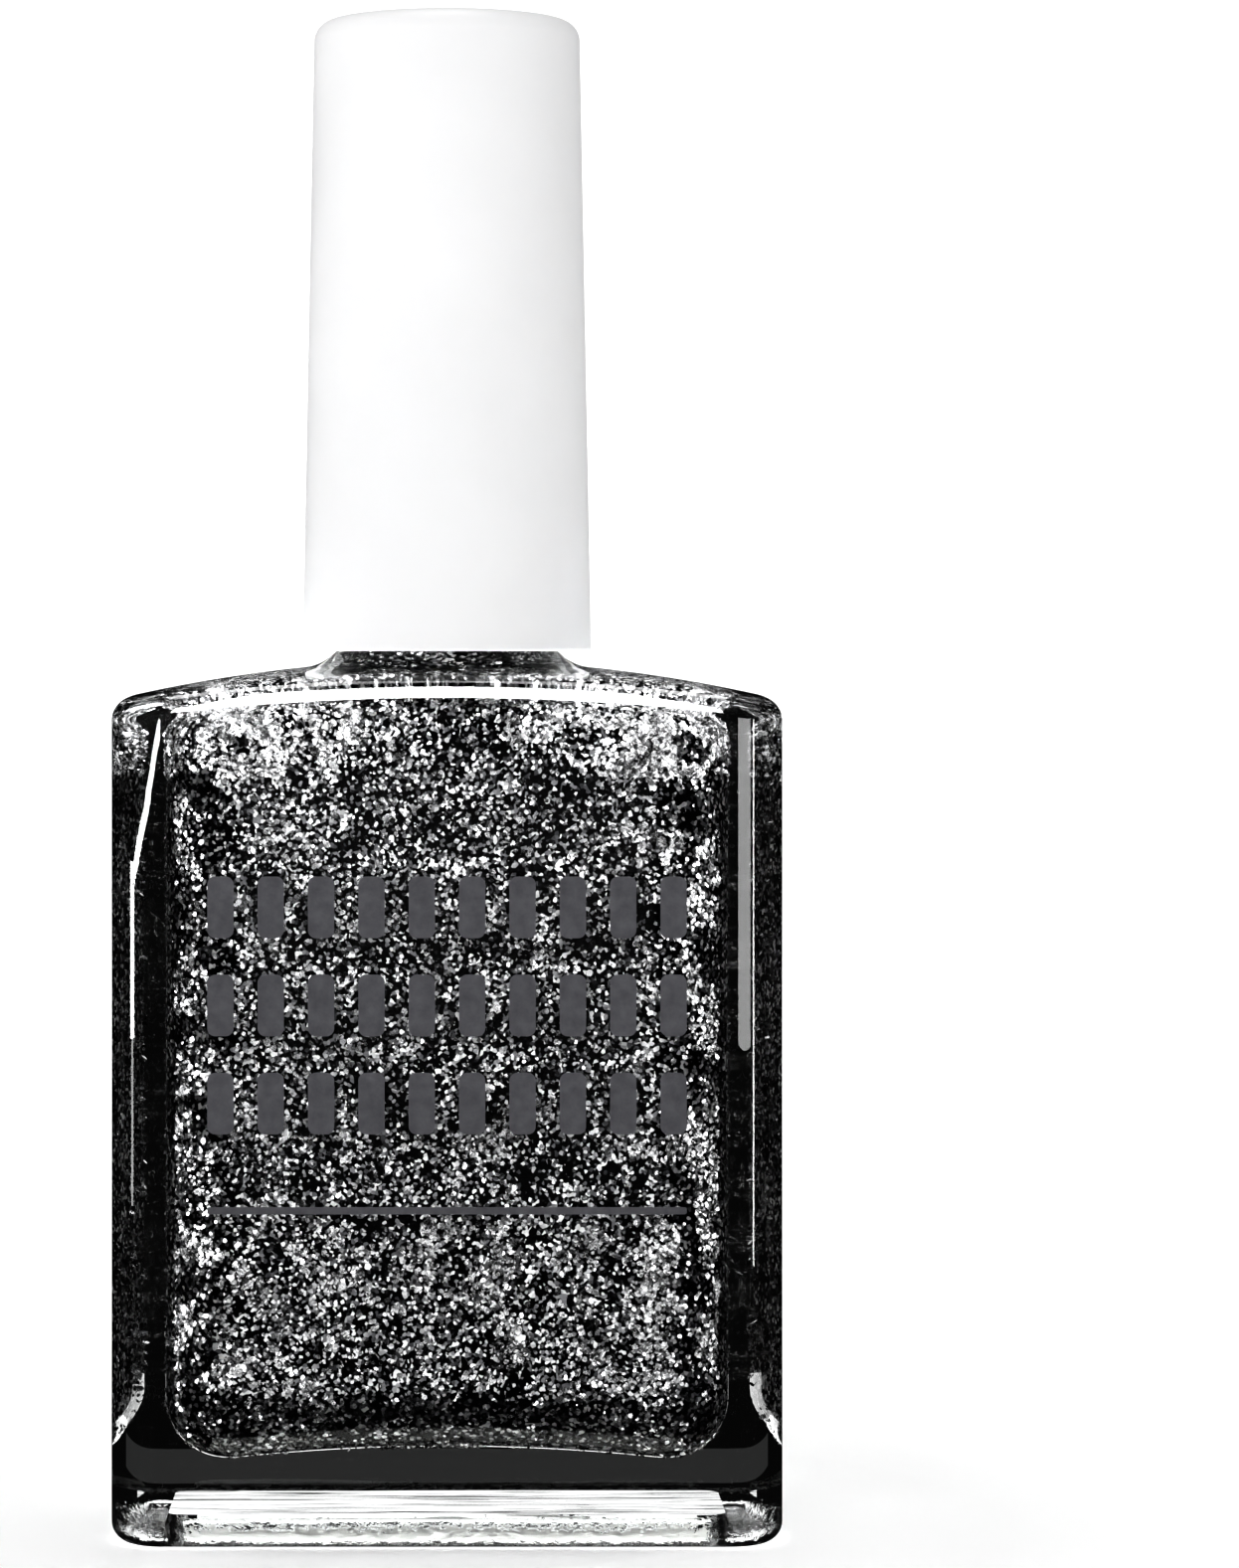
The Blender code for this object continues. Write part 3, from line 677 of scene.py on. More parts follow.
def cavity_rings(gap):
    """From the middle of the floor up to the roof's edge, drawn in by the gap."""
    rings = []
    flat = cavity_outline(FLOOR_RADIUS + gap)
    for share in (0.3, 0.6, 0.85):
        outline = [(x * share, y * share) for x, y in flat]
        rings.append(lifted(outline, lambda x, y: cavity_floor(x, y) + gap))
    for sine, cosine in quarter_turn(14):
        outline = cavity_outline(gap + FLOOR_RADIUS * (1 - sine))
        rise = FLOOR_RADIUS * (1 - cosine) + gap
        rings.append(lifted(outline, lambda x, y, rise=rise: cavity_floor(x, y) + rise))
    side = cavity_outline(gap)
    low, high = FLOOR_LOW + FLOOR_RADIUS + CAVITY_SIDE_LOW, CAVITY_SIDE_TOP
    for share in shares(12):
        rings.append(lifted(side, low + (high - low) * share))
    for sine, cosine in quarter_turn(6):
        outline = cavity_outline(gap + CAVITY_TOP_RADIUS * (1 - cosine))
        drop = CAVITY_TOP_RADIUS * (1 - sine) + gap
        rings.append(lifted(outline, lambda x, y, drop=drop: inner_shoulder(x, y) - drop))
    return rings


def roof_rings(start, end, height):
    steps = shares(ROOF_STEPS, first=1)[:-1]
    return [lifted(between(start, end, share), height) for share in steps]


def make_bottle(look):
    """The glass as one skin, from under the base up outside and down inside to the cavity's floor."""
    rings = underside_rings() + wall_rings() + shoulder_rings() + neck_rings()
    rings += bore_flare_rings(0.0)
    flare = circle(BORE_RADIUS + BORE_FLARE_RADIUS)
    roof_edge = cavity_outline(CAVITY_TOP_RADIUS)
    rings += roof_rings(flare, roof_edge, inner_shoulder)
    rings += cavity_rings(0.0)[::-1]
    mesh = loft("clear_bottle", rings)
    bottle = new_piece("clear_bottle", mesh, "bottle", look, "clear_glass", "glass_bottle")
    bottle.visible_shadow = False
    return bottle


def polish_rings():
    """The polish fills the cavity and the foot of the neck, and wets the glass all round."""
    rings = cavity_rings(-WETTING)
    roof_edge = cavity_outline(CAVITY_TOP_RADIUS - WETTING)
    flare = circle(BORE_RADIUS + BORE_FLARE_RADIUS)
    rings += roof_rings(roof_edge, flare, lambda x, y: inner_shoulder(x, y) + WETTING)
    rings += bore_flare_rings(-WETTING)[::-1]
    bore = circle(BORE_RADIUS + WETTING)
    foot = inner_shoulder(0.0, 0.0) + BORE_FLARE_RADIUS
    for share in shares(5, first=1):
        rings.append(lifted(bore, foot + (POLISH_LEVEL - foot) * share))
    return rings + [lifted(circle(BORE_RADIUS * share), POLISH_LEVEL) for share in (0.8, 0.5)]


# Flakes ---------------------------------------


def in_cluster(centre):
    """The chance that a flake at this place stays, so that flakes gather in clusters."""
    swirl = noise.fractal(Vector(centre) / CLUSTER_SIZE, 0.9, 2.0, 3)
    return min(1.0, max(LEAST_CHANCE, 0.5 + CLUSTER_CONTRAST * swirl))


def scatter(rings, count, seed, weight, tilt, radii, lift=0.0, clustered=False):
    """Flake centres, normals and sizes on the surface through the rings, and the draw itself.
    weight(centres, normals) says how crowded a place is. Clustering takes away part of the count."""
    draw = np.random.default_rng(seed)
    grid = np.array(rings)
    a, b = grid[:-1], grid[1:]
    next_a, next_b = np.roll(a, -1, axis=1), np.roll(b, -1, axis=1)
    triangles = np.concatenate([
        np.stack([a, next_a, next_b], axis=2).reshape(-1, 3, 3),
        np.stack([a, next_b, b], axis=2).reshape(-1, 3, 3),
    ])
    cross = np.cross(triangles[:, 1] - triangles[:, 0], triangles[:, 2] - triangles[:, 0])
    area = np.linalg.norm(cross, axis=1)
    keep = area > 1e-14
    triangles, cross, area = triangles[keep], cross[keep], area[keep]
    normals = cross / area[:, None]
    chance = area * weight(triangles.mean(axis=1), normals)
    chosen = draw.choice(len(area), size=count, p=chance / chance.sum())
    u, v = draw.random(count), draw.random(count)
    over = u + v > 1
    u[over], v[over] = 1 - u[over], 1 - v[over]
    t = triangles[chosen]
    centres = t[:, 0] + (t[:, 1] - t[:, 0]) * u[:, None] + (t[:, 2] - t[:, 0]) * v[:, None]
    normal = normals[chosen]
    lean = np.clip(np.abs(draw.normal(0.0, tilt, count)), 0.0, MOST_TILT)
    side = draw.normal(size=(count, 3))
    side -= normal * (side * normal).sum(axis=1)[:, None]
    side /= np.linalg.norm(side, axis=1)[:, None]
    leaned = normal * np.cos(lean)[:, None] + side * np.sin(lean)[:, None]
    low, high = radii
    radius = low + (high - low) * draw.beta(*FLAKE_SIZES, count)
    centres = centres + normal * lift
    if clustered:
        stays = draw.random(count) < [in_cluster(centre) for centre in centres]
        centres, leaned, radius = centres[stays], leaned[stays], radius[stays]
    return centres, leaned, radius, draw


def flake_mesh(name, centres, normals, radius, draw):
    """One flat irregular hexagon for each flake."""
    count = len(centres)
    spin = draw.normal(size=(count, 3))
    first = np.cross(normals, spin)
    first /= np.linalg.norm(first, axis=1)[:, None]
    second = np.cross(normals, first)
    stretch = draw.uniform(0.75, 1.0, (count, 1))
    points = np.empty((count, FLAKE_SIDES, 3))
    for i in range(FLAKE_SIDES):
        wobble = draw.uniform(-FLAKE_WOBBLE, FLAKE_WOBBLE, (count, 1))
        angle = 2 * math.pi / FLAKE_SIDES * i + wobble
        reach = radius[:, None] * draw.uniform(0.86, 1.0, (count, 1))
        points[:, i] = centres + reach * (np.cos(angle) * first + np.sin(angle) * stretch * second)
    total = count * FLAKE_SIDES
    mesh = bpy.data.meshes.new(name)
    mesh.vertices.add(total)
    mesh.vertices.foreach_set("co", points.astype(np.float32).ravel())
    mesh.loops.add(total)
    mesh.loops.foreach_set("vertex_index", np.arange(total, dtype=np.int32))
    mesh.polygons.add(count)
    mesh.polygons.foreach_set("loop_start", np.arange(0, total, FLAKE_SIDES, dtype=np.int32))
    mesh.update(calc_edges=True)
    mesh.validate()
    return mesh


def clouds(centres):
    """A smooth uneven swirl from 0 to 1, a few millimetres across."""
    x, y, z = (centres * 1000.0).T
    swirl = np.sin(0.61 * x + 0.8 * np.sin(0.37 * z))
    swirl += np.sin(0.83 * z + 1.1 * np.sin(0.29 * x + 0.5 * y) + 1.0)
    swirl += 0.7 * np.sin(1.31 * x - 0.9 * z + 0.4 * y + 2.0)
    return 0.5 + swirl / 5.4


def faces_sideways(normals):
    return np.abs(normals[:, 0]) > 0.85


def in_neck(centres):
    return np.hypot(centres[:, 0], centres[:, 1]) < BORE_RADIUS + BORE_FLARE_RADIUS + WETTING


def polish_weight(centres, normals):
    """Flakes gather in clouds; their count paints shade at the floor, highlights by the corners and a
    shadow under the neck.
    """
    x, y, z = centres.T
    painted_light = np.interp(z, PAINTED_LIGHT_HEIGHTS, PAINTED_LIGHT_SHARES)
    width, height = SHADE_SIZE
    # fewer flakes in a patch under the neck: painted shadow of the neck and cap
    neck_shadow = 1.0 - 0.7 * np.exp(-(x / width) ** 4 - ((z - SHADE_HEIGHT) / height) ** 2)
    corner_highlight = 1.0 + CORNER_HIGHLIGHT * np.clip((np.abs(x) - CORNER_START) / 0.004, 0.0, 1.0)
    place = ~faces_sideways(normals) * ~in_neck(centres)
    return painted_light * neck_shadow * corner_highlight * (0.35 + 1.3 * clouds(centres)) * place


# Sideways walls get few flakes of their own, painted shade that keeps the sides dark, with the same
# painted light by height.
def side_shade_weight(centres, normals):
    return np.interp(centres[:, 2], PAINTED_LIGHT_HEIGHTS, PAINTED_LIGHT_SHARES) * faces_sideways(normals)


def roof_weight(centres, normals):
    return (normals[:, 2] > 0.6) * ~in_neck(centres)


def neck_weight(centres, normals):
    return (normals[:, 2] < 0.9) * in_neck(centres)


def crest_highlight_weight(centres, normals):
    """Extra flakes along the top of the walls, most of all in the corners: a painted highlight of light
    through the shoulder.
    """
    x, y, z = centres.T
    height = np.exp(-((CREST_HEIGHT - z) / CREST_SPREAD) ** 2)
    corner_highlight = 0.02 + np.clip((np.abs(x) - 0.0040) / 0.006, 0.0, 1.0)
    return height * corner_highlight * (0.3 + clouds(centres)) * (1.0 - 0.8 * np.abs(normals[:, 2]))


def make_polish(liquid_look, flake_look, painted_lit_look):
    """The liquid and its layers of flakes, in the order in which make_lights takes them."""
    rings = polish_rings()
    slot = "glitter_polish"
    skin = loft("glitter_polish", rings)
    pieces = [new_piece("glitter_polish", skin, "bottle", liquid_look, slot, "nail_polish")]
    layers = (
        # few side flakes: painted shade on the sideways walls
        ("side_flakes", 2400, side_shade_weight, FLAKE_TILT, flake_look),
        ("polish_flakes", 50000, polish_weight, FLAKE_TILT, flake_look),
        # crest and roof flakes take the painted lit copy of the flake material
        ("crest_flakes", 14500, crest_highlight_weight, FLAKE_TILT, painted_lit_look),
        ("roof_flakes", 4200, roof_weight, ROOF_FLAKE_TILT, painted_lit_look),
        ("neck_flakes", 1500, neck_weight, ROOF_FLAKE_TILT, flake_look),
    )
    for seed, (name, count, weight, tilt, look) in enumerate(layers, start=11):
        placed = scatter(rings, count, seed, weight, tilt, FLAKE_RADIUS, FLAKE_LIFT, clustered=True)
        pieces.append(new_piece(name, flake_mesh(name, *placed), "bottle", look, slot))
    return pieces


def make_balls(look):
    for side in ("left", "right"):
        low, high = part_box(f"mixing_ball_{side}")
        centre = (low + high) / 2
        radius = (high.z - low.z) / 2
        build = bmesh.new()
        bmesh.ops.create_icosphere(build, subdivisions=4, radius=radius)
        bmesh.ops.translate(build, vec=centre, verts=build.verts)
        mesh = bpy.data.meshes.new(f"steel_ball_{side}")
        build.to_mesh(mesh)
        build.free()
        mesh.shade_smooth()
        node = f"mixing_ball_{side}"
        new_piece(f"steel_ball_{side}", mesh, f"ball_{side}", look, "ball_steel", node)


# Print on the front ---------------------------


def make_print(look):
    """Three rows of plain upright blocks and a thin rule, screen-printed on the front face."""
    shapes = []
    for row in range(PRINT_ROWS):
        z = PRINT_TOP - row * PRINT_ROW_PITCH
        for place in range(PRINT_BLOCKS):
            x = (place - (PRINT_BLOCKS - 1) / 2) * PRINT_PITCH
            shapes.append((x, z, PRINT_BLOCK_WIDTH, PRINT_BLOCK_HEIGHT))
    row_width = PRINT_PITCH * (PRINT_BLOCKS - 1) + PRINT_BLOCK_WIDTH
    shapes.append((0.0, PRINT_RULE_Z, row_width, PRINT_RULE_HEIGHT))
    front = -BODY_DEPTH / 2
    build = bmesh.new()
    for x, z, width, height in shapes:
        outline = rounded_block(x, z, width / 2, height / 2, min(height, width) * 0.3)
        near = [build.verts.new((px, front - PRINT_THICKNESS, pz)) for px, pz in outline]
        far = [build.verts.new((px, front - PRINT_GAP, pz)) for px, pz in outline]
        build.faces.new(near)
        build.faces.new(far[::-1])
        for i in range(len(outline)):
            j = (i + 1) % len(outline)
            build.faces.new((near[j], near[i], far[i], far[j]))
    bmesh.ops.recalc_face_normals(build, faces=build.faces)
    mesh = bpy.data.meshes.new("printed_blocks")
    build.to_mesh(mesh)
    build.free()
    new_piece("printed_blocks", mesh, "bottle", look, "clear_glass")


def rounded_block(x, z, half_width, half_height, radius):
    """The outline of an upright block with rounded corners."""
    outline = []
    for side_x, side_z, start in ((1, 1, 0), (-1, 1, 90), (-1, -1, 180), (1, -1, 270)):
        corner_x = x + side_x * (half_width - radius)
        corner_z = z + side_z * (half_height - radius)
        outline += arc(corner_x, corner_z, radius, start, start + 90, 6)
    return outline


# Closure --------------------------------------


def make_overcap(look):
    edge = OVERCAP_EDGE_RADIUS
    ceiling = OVERCAP_HEIGHT - OVERCAP_TOP_THICKNESS
    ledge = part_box("inner_cap")[1].z - RIM_HEIGHT + CAP_GAP
    lip = OVERCAP_LIP
    outer = [(0.0, OVERCAP_HEIGHT), (0.003, OVERCAP_HEIGHT), (0.0055, OVERCAP_HEIGHT)]
    outer += arc(OVERCAP_TOP_RADIUS - edge, OVERCAP_HEIGHT - edge, edge, 90, 1, 14)
    outer += line(outer[-1], (OVERCAP_RIM_RADIUS, lip), 24)
    outer += arc(OVERCAP_RIM_RADIUS - lip, lip, lip, -10, -90, 5)
    inner = arc(OVERCAP_SOCKET_RADIUS + lip, lip, lip, 270, 180, 4)
    inner += line(inner[-1], (OVERCAP_SOCKET_RADIUS, ledge), 8)
    inner += [(OVERCAP_BORE_RADIUS, ledge)]
    bore_top = OVERCAP_TOP_RADIUS - OVERCAP_RIM_RADIUS + OVERCAP_SOCKET_RADIUS - edge / 2
    inner += line(inner[-1], (bore_top, ceiling - edge / 2), 8)
    inner += arc(bore_top - edge / 2, ceiling - edge / 2, edge / 2, 10, 90, 6)
    inner += [(0.0, ceiling)]
    mesh = turned("satin_overcap", outer + inner, RIM_HEIGHT)
    new_piece("satin_overcap", mesh, "closure", look, "white_plastic", "overcap")


def make_inner_cap(look):
    low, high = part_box("inner_cap")
    bottom, top = low.z, high.z
    roof = top - INNER_CAP_ROOF
    pocket = LIP_HEIGHT - 0.0006
    edge = 0.0003
    profile = [(INNER_CAP_HOLE, top), (INNER_CAP_RADIUS - edge, top)]
    profile += arc(INNER_CAP_RADIUS - edge, top - edge, edge, 90, 0, 5)[1:]
    profile += line(profile[-1], (INNER_CAP_RADIUS, bottom), 10)
    profile += [(INNER_CAP_BORE, bottom)]
    first = INNER_THREAD_START - THREAD_BASE_HALF
    last = first + THREAD_PITCH * INNER_THREAD_TURNS + 2 * THREAD_BASE_HALF
    profile += line(profile[-1], (INNER_CAP_BORE, first), 4)
    profile += line(profile[-1], (INNER_CAP_BORE, last), 48)
    profile += [(INNER_CAP_BORE, pocket), (INNER_CAP_POCKET_RADIUS, pocket + edge)]
    profile += [(INNER_CAP_POCKET_RADIUS, roof), (INNER_CAP_HOLE, roof)]

    def ridge(angle, radius, z):
        if abs(radius - INNER_CAP_BORE) > 1e-6 or not first < z < last:
            return radius
        share = thread_share(angle, z, INNER_THREAD_START, INNER_THREAD_TURNS)
        return radius - (INNER_CAP_BORE - INNER_THREAD_CREST) * share

    name = "threaded_inner_cap"
    mesh = turned(name, profile, shape=ridge)
    new_piece(name, mesh, "closure", look, "inner_white_plastic", "inner_cap")


def make_washer(look):
    low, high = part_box("sealing_washer")
    outer, hole, edge = high.x, 0.0025, 0.00012
    top, bottom = high.z - edge, low.z + edge
    profile = [(hole + edge, high.z)]
    profile += arc(outer - edge, top, edge, 90, 0, 4) + arc(outer - edge, bottom, edge, 0, -90, 4)
    profile += arc(hole + edge, bottom, edge, 270, 180, 4)
    profile += arc(hole + edge, top, edge, 180, 90, 4)[:-1]
    mesh = turned("foam_washer", profile)
    new_piece("foam_washer", mesh, "seal", look, "washer_foam", "sealing_washer")


def eased(start_radius, end_radius, height, steps):
    """Profile points that ease from one radius to the other, down from the height, without the first."""
    points = []
    for share in shares(steps, first=1):
        ease = share * share * (3 - 2 * share)
        points.append((start_radius + (end_radius - start_radius) * ease, height - STEM_EASE * share))
    return points


def make_stem(look):
    """The rod with its barbed head, the flange over the washer, a waist and the socket for the brush."""
    low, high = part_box("brush_stem")
    end, top = low.z, high.z
    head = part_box("inner_cap")[1].z
    profile = [(0.0, top), (0.0009, top), (STEM_BARB_RADIUS, head + CAP_GAP), (STEM_PIN_RADIUS, head)]
    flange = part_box("sealing_washer")[1].z + CAP_GAP
    flange_top = flange + STEM_FLANGE_THICKNESS
    edge = 0.0001
    inside = STEM_FLANGE_RADIUS - edge
    profile += [(STEM_PIN_RADIUS, flange_top), (inside, flange_top)]
    profile += [(STEM_FLANGE_RADIUS, flange_top - edge), (STEM_FLANGE_RADIUS, flange + edge)]
    profile += [(inside, flange)]
    profile += [(STEM_TOP_RADIUS + CAP_GAP, flange), (STEM_TOP_RADIUS, flange - CAP_GAP)]
    taper_top = flange - STEM_TOP_LENGTH
    profile += line(profile[-1], (STEM_TOP_RADIUS, taper_top), 8)
    profile += eased(STEM_TOP_RADIUS, STEM_WAIST_RADIUS, taper_top, 8)
    socket_top = end + SOCKET_DEPTH
    flare_top = socket_top + STEM_TIP_LENGTH
    profile += line(profile[-1], (STEM_WAIST_RADIUS, flare_top), 10)
    profile += eased(STEM_WAIST_RADIUS, STEM_TIP_RADIUS, flare_top, 6)
    profile += line(profile[-1], (STEM_TIP_RADIUS, end + 3 * edge), 5)
    profile += arc(STEM_TIP_RADIUS - 2 * edge, end + 2 * edge, 2 * edge, 0, -90, 4)
    profile += [(SOCKET_RADIUS, end), (SOCKET_RADIUS, socket_top), (0.0, socket_top)]
    mesh = turned("moulded_stem", profile, steps=72)
    new_piece("moulded_stem", mesh, "closure", look, "natural_plastic", "brush_stem")


def tuft_shape(share):
    """The tuft's width and thickness as shares of the widest, from its root at 0 to its tip at 1."""
    stations = (0.0, 0.08, 0.35, 0.62, 0.84, 0.94, 1.0)
    wide = np.interp(share, stations, (0.70, 0.80, 0.97, 1.0, 0.90, 0.68, 0.30))
    thick = np.interp(share, stations, (1.10, 1.08, 1.0, 1.0, 0.88, 0.62, 0.25))
    return wide, thick


def bristle_points(n, tip, root, draw):
    """The rings of one filament, which leaves the socket round and ends in the tuft's flat tip."""
    angle = n * GOLDEN_ANGLE
    spread = math.sqrt((n + 0.5) / BRISTLE_COUNT) * 0.96
    u, v = spread * math.cos(angle), spread * math.sin(angle)
    length = 1.0 - 0.16 * abs(u) ** 2.2 - 0.02 * draw.random()
    wander = draw.normal(0.0, 0.00003, 2)
    points = []
    for k in range(BRISTLE_STEPS + 1):
        share = k / BRISTLE_STEPS * length
        wide, thick = tuft_shape(min(share, BRISTLE_BEND))
        squeeze = 1.0
        if share >= BRISTLE_BEND:
            squeeze = 1.0 - 0.25 * (share - BRISTLE_BEND) / (1.0 - BRISTLE_BEND)
        x = u * wide * squeeze * TUFT_HALF_WIDTH * 0.97 + wander[0] * share
        y = v * thick * squeeze * TUFT_HALF_THICKNESS * 0.95 + wander[1] * share
        z = root + (tip - root) * share
        radius = BRISTLE_RADIUS * (1.0 if k < BRISTLE_STEPS else 0.45)
        for i in range(BRISTLE_SIDES):
            a = 2 * math.pi * i / BRISTLE_SIDES
            points.append((x + radius * math.cos(a), y + radius * math.sin(a), z))
    return points


def bristle_faces(start):
    """The faces over the rings that begin at the vertex start: the skin and the two ends."""
    faces = []
    for k in range(BRISTLE_STEPS):
        p = start + k * BRISTLE_SIDES
        for i in range(BRISTLE_SIDES):
            j = (i + 1) % BRISTLE_SIDES
            faces.append((p + i, p + BRISTLE_SIDES + i, p + BRISTLE_SIDES + j, p + j))
    last = start + BRISTLE_STEPS * BRISTLE_SIDES
    faces.append([start + i for i in range(BRISTLE_SIDES)])
    faces.append([last + BRISTLE_SIDES - 1 - i for i in range(BRISTLE_SIDES)])
    return faces


def make_bristles(look, flake_look):
    """Separate filaments, and flakes that cling round them."""
    tip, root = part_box("bristle_tuft")[0].z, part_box("brush_stem")[0].z + TUFT_SINK
    draw = np.random.default_rng(23)
    verts, faces = [], []
    for n in range(BRISTLE_COUNT):
        faces += bristle_faces(len(verts))
        verts += bristle_points(n, tip, root, draw)
    mesh = bpy.data.meshes.new("bristles")
    mesh.from_pydata(verts, [], faces)
    mesh.shade_smooth()
    new_piece("bristles", mesh, "closure", look, "black_nylon", "bristle_tuft")

    rings = []
    for share in shares(24)[:-4]:
        wide, thick = tuft_shape(share)
        half_x, half_y = wide * TUFT_HALF_WIDTH, thick * TUFT_HALF_THICKNESS
        z = root - TUFT_SINK + (tip + 0.0002 - root) * share
        turns = [2 * math.pi * i / 32 for i in range(32)]
        rings.append([(half_x * math.cos(a), half_y * math.sin(a), z) for a in turns])

    def weight(centres, _normals):
        return 0.3 + (0.024 - centres[:, 2]) * 60

    drawn = (BRUSH_FLAKE_COUNT, 5, weight, BRUSH_FLAKE_TILT, BRUSH_FLAKE_RADIUS)
    mesh = flake_mesh("brush_flakes", *scatter(rings[::-1], *drawn))
    new_piece("brush_flakes", mesh, "closure", flake_look, "glitter_polish")


# Set ------------------------------------------


def area_light(
    name, location, target, size, radiance, only=(), roll=0.0, diffuse=True, glossy=True, through=False
):
    """A softbox that the camera never sees, as bright as its radiance at any size. It lights only
    the pieces that only lists, or else everything. through lets it show through the glass."""
    data = bpy.data.lights.new(name, "AREA")
    data.shape = "RECTANGLE"
    data.size, data.size_y = size
    data.energy = radiance * math.pi * size[0] * size[1]
    obj = bpy.data.objects.new(name, data)
    bpy.context.scene.collection.objects.link(obj)
    obj.location = location
    aim = (Vector(target) - Vector(location)).to_track_quat("-Z", "Y")
    obj.rotation_euler = (aim @ Quaternion((0.0, 0.0, 1.0), math.radians(roll))).to_euler()
    obj.visible_camera = False
    obj.visible_diffuse = diffuse
    obj.visible_glossy = glossy
    obj.visible_transmission = through
    if only:
        receivers = bpy.data.collections.new(name + "_receivers")
        for piece in only:
            receivers.objects.link(piece)
        obj.light_linking.receiver_collection = receivers


def make_floor():
    """A white floor that only the camera and diffuse light see. It glows less close to the bottle."""
    build = bmesh.new()
    bmesh.ops.create_grid(build, x_segments=8, y_segments=8, size=FLOOR_HALF_SIZE)
    mesh = bpy.data.meshes.new("floor")
    build.to_mesh(mesh)
    build.free()
    floor = bpy.data.objects.new("floor", mesh)
    bpy.context.scene.collection.objects.link(floor)
    floor.location.z = -FLOOR_GAP
    look = Look("pale_floor", Roughness=0.7, Specular_IOR_Level=0.1)
    look.shader.inputs["Emission Color"].default_value = (1.0, 1.0, 1.0, 1.0)
    distance = look.nodes.new("ShaderNodeVectorMath")
    distance.operation = "LENGTH"
    look.links.new(look.place, distance.inputs[0])
    glow = (0.03, grey(0.04)), (0.09, grey(0.40)), (0.30, grey(0.75))
    look.set("Emission Strength", look.ramp(distance.outputs["Value"], *glow))
    look.set("Base Color", look.ramp(look.noise(3.0), (0.3, grey(0.93)), (0.7, grey(0.95))))
    mesh.materials.append(look.material)
    floor.visible_glossy = False
    floor.visible_transmission = False


def make_world():
    """White to the camera and as fill light, dark in reflections and through the glass."""
    world = bpy.data.worlds.new("studio")
    bpy.context.scene.world = world
    world.use_nodes = True
    nodes, links = world.node_tree.nodes, world.node_tree.links
    background = nodes["Background"]
    path = nodes.new("ShaderNodeLightPath")
    fill = nodes.new("ShaderNodeMath")
    fill.operation = "MULTIPLY_ADD"
    links.new(path.outputs["Is Diffuse Ray"], fill.inputs[0])
    fill.inputs[1].default_value = WHITE_FILL
    fill.inputs[2].default_value = DARK_FILL
    total = nodes.new("ShaderNodeMath")
    total.operation = "MAXIMUM"
    links.new(fill.outputs[0], total.inputs[0])
    links.new(path.outputs["Is Camera Ray"], total.inputs[1])
    links.new(total.outputs[0], background.inputs["Strength"])
    background.inputs["Color"].default_value = (1.0, 1.0, 1.0, 1.0)


def streak(bottle, name, location, size, radiance, target=None, roll=0.0):
    """A light that shows only as a streak in the glass. It shines level if it has no target."""
    aim = target or (0.0, 0.0, location[2])
    area_light(name, location, aim, size, radiance, [bottle], roll, diffuse=False)


def sparkle(pieces, name, location, size, radiance, target=MIDDLE):
    """A light that shows only as glints on these pieces."""
    area_light(name, location, target, size, radiance, pieces, diffuse=False)


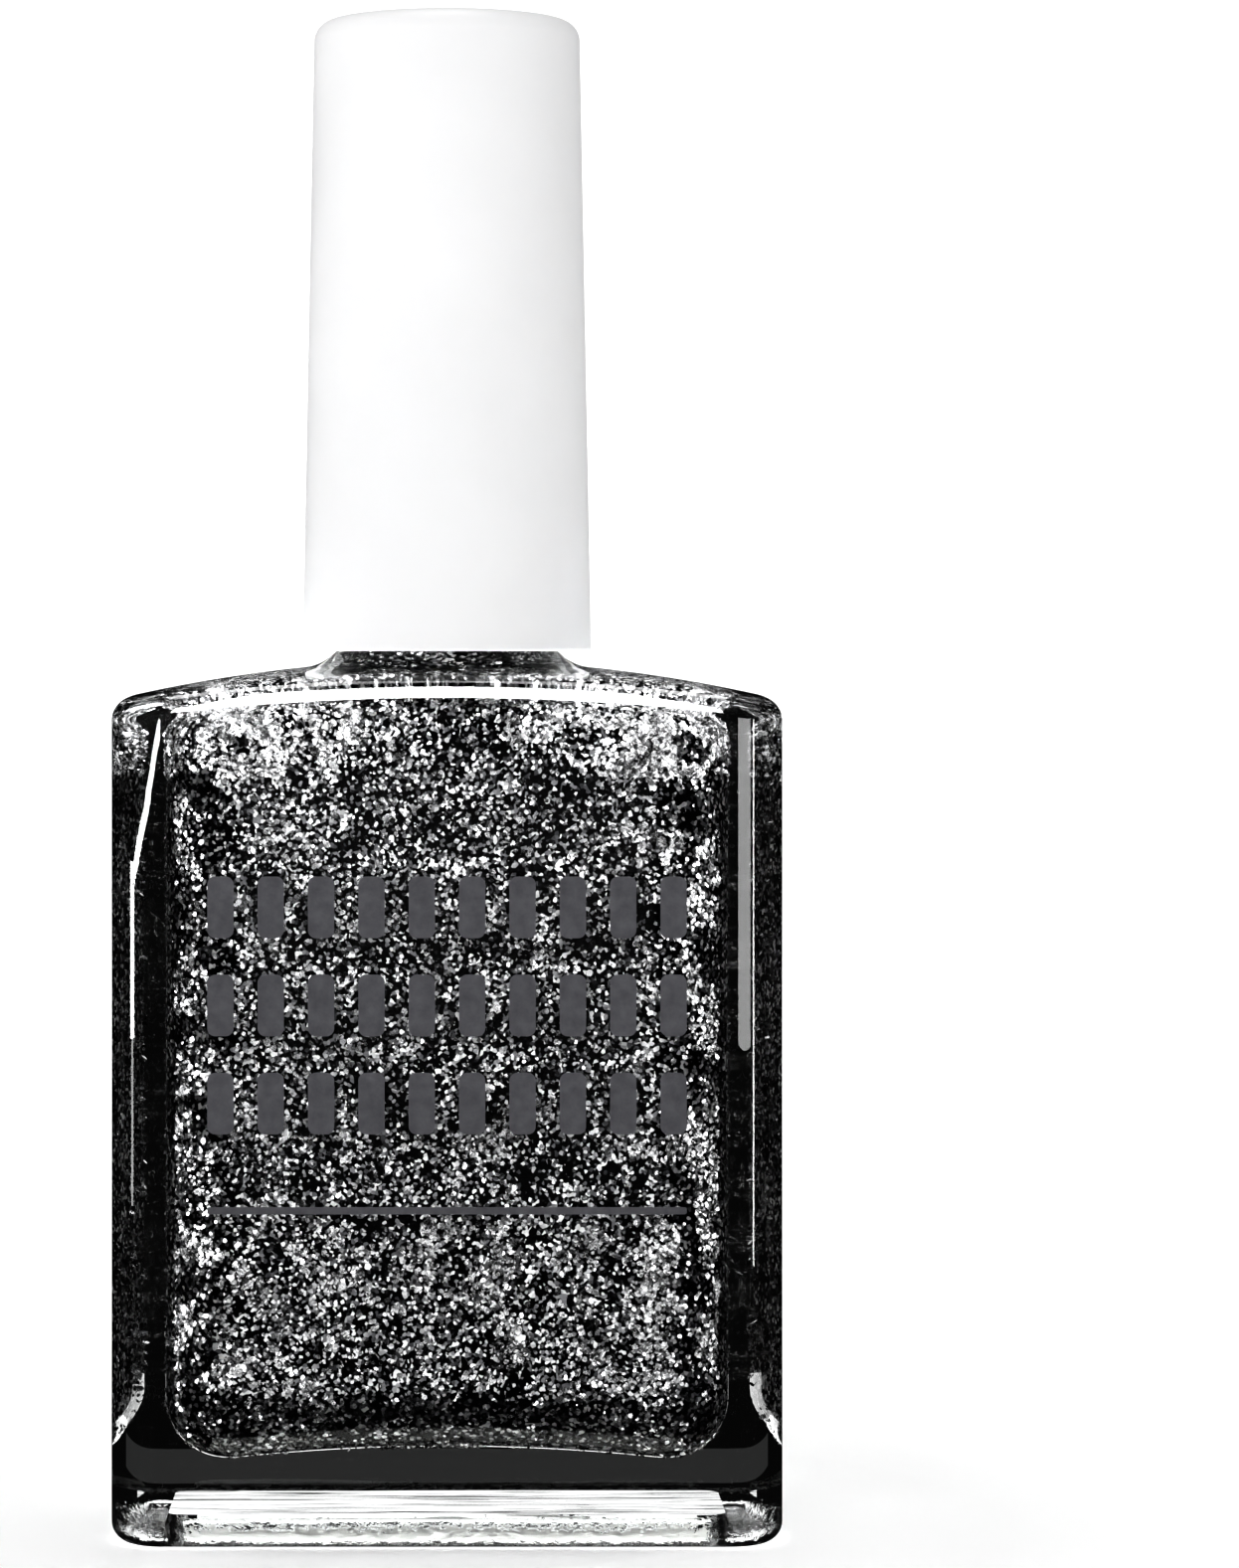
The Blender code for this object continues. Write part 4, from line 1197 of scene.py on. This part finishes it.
def make_lights(bottle, glitter):
    """Soft light for everything, streaks for the glass, and sparkle for the polish and its flakes."""
    liquid, sides, *front = glitter
    crown = front[1:]
    area_light("key", (-0.39, -0.66, 0.48), MIDDLE, (0.425, 0.425), 2.45, glossy=False)
    area_light("back_fill", (0.10, 0.45, 0.35), MIDDLE, (0.40, 0.25), 1.0, glossy=False)
    area_light("overhead", (0.0, 0.04, 0.72), MIDDLE, (0.29, 0.29), 5.0)

    streak(bottle, "front_strip", (0.0, -0.33, 0.26), (0.11, 0.40), 24.0, MIDDLE)
    streak(bottle, "left_strip", (-0.19, -0.062, 0.0225), (0.036, 0.016), 17.0)
    streak(bottle, "left_strip_low", (-0.19, -0.062, 0.0070), (0.020, 0.015), 6.0)
    streak(bottle, "left_bend", (-0.131, -0.151, 0.0355), (0.20, 0.003), 22.0, roll=4.0)
    streak(bottle, "right_strip", (0.112, -0.166, 0.031), (0.09, 0.036), 6.0)
    streak(bottle, "right_line", (0.160, -0.120, 0.020), (0.012, 0.052), 15.0)

    sparkle(glitter, "sparkle_front", (0.0, -0.38, 0.17), (0.13, 0.12), 26.0)
    sparkle(glitter, "sparkle_low", (0.0, -0.40, 0.030), (0.14, 0.050), 24.0, (0.0, 0.0, 0.020))
    pairs = (
        ("sparkle", (0.33, -0.19, 0.12), 52.0, front),
        ("sparkle_far", (0.38, 0.0, 0.08), 26.0, front),
        ("sparkle_side", (0.38, 0.0, 0.08), 2.0, [liquid, sides]),
    )
    for name, (x, y, z), radiance, pieces in pairs:
        sparkle(pieces, f"{name}_left", (-x, y, z), (0.24, 0.24), radiance)
        sparkle(pieces, f"{name}_right", (x, y, z), (0.24, 0.24), radiance)
    sparkle(glitter, "sparkle_top", (0.0, -0.14, 0.40), (0.36, 0.10), 44.0)
    sparkle(glitter, "sparkle_back", (0.0, 0.30, 0.36), (0.34, 0.24), 90.0)
    sparkle(crown, "crest_glow", (0.0, -0.26, 0.28), (0.80, 0.70), 28.0)
    sparkle(crown, "crest_glow_back", (0.0, 0.26, 0.28), (0.80, 0.70), 12.0)

    rear = (0.0, 0.009, 0.0024)
    sparkle([liquid], "outline_low", rear, (0.035, 0.0028), 2.5, (0.0, 0.0, 0.0034))
    for side in (-1, 1):
        x, z = side * 0.0165, 0.0055
        sparkle([liquid], f"outline_side_{side}", (x, 0.009, z), (0.003, 0.005), 0.8, (x, 0.0, z))
    card = {"diffuse": False, "glossy": False, "through": True}
    area_light("base_card", (0.0, 1.0, 0.17), (0.0, 0.0, 0.0), (0.40, 0.14), 1.15, **card)
    low = -0.0118
    area_light("low_card", (0.0, 0.10, low), (0.0, 0.0, low), (0.05, 0.0026), 0.035, **card)


def make_camera():
    data = bpy.data.cameras.new("camera")
    data.sensor_width = 36.0
    data.lens = 117.0
    data.shift_x = 0.110
    data.shift_y = -0.0847
    data.clip_start = 0.01
    data.clip_end = 10.0
    camera = bpy.data.objects.new("camera", data)
    camera.location = (0.0, -0.290, 0.0495)
    camera.rotation_euler = (math.pi / 2, 0.0, 0.0)
    bpy.context.scene.collection.objects.link(camera)
    bpy.context.scene.camera = camera
    bpy.context.scene.view_settings.view_transform = "Standard"
    bpy.context.scene.view_settings.look = "High Contrast"


def dress(node, look):
    """Give a CAD node that stays on screen its material."""
    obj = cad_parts[node]
    obj.data.materials.clear()
    obj.data.materials.append(look)


def main():
    make_camera()
    make_world()
    make_floor()
    flakes = silver_flakes("silver_flakes", -0.9, 2.7)
    # a lit copy of the flakes, brighter all over: painted light on the crest and roof flakes under the
    # shoulder
    painted_lit_flakes = silver_flakes("painted_lit_silver_flakes", 0.6, 1.7)
    bottle = make_bottle(clear_glass())
    glitter = make_polish(lacquer(), flakes, painted_lit_flakes)
    make_lights(bottle, glitter)
    make_balls(steel())
    make_print(printed_ink())
    make_overcap(satin_white())
    make_inner_cap(inner_white())
    make_washer(foam())
    make_stem(natural_plastic())
    make_bristles(bristle_nylon(), flakes)
    dress("base_label", paper())
    dress("brush_staple", brass())


main()
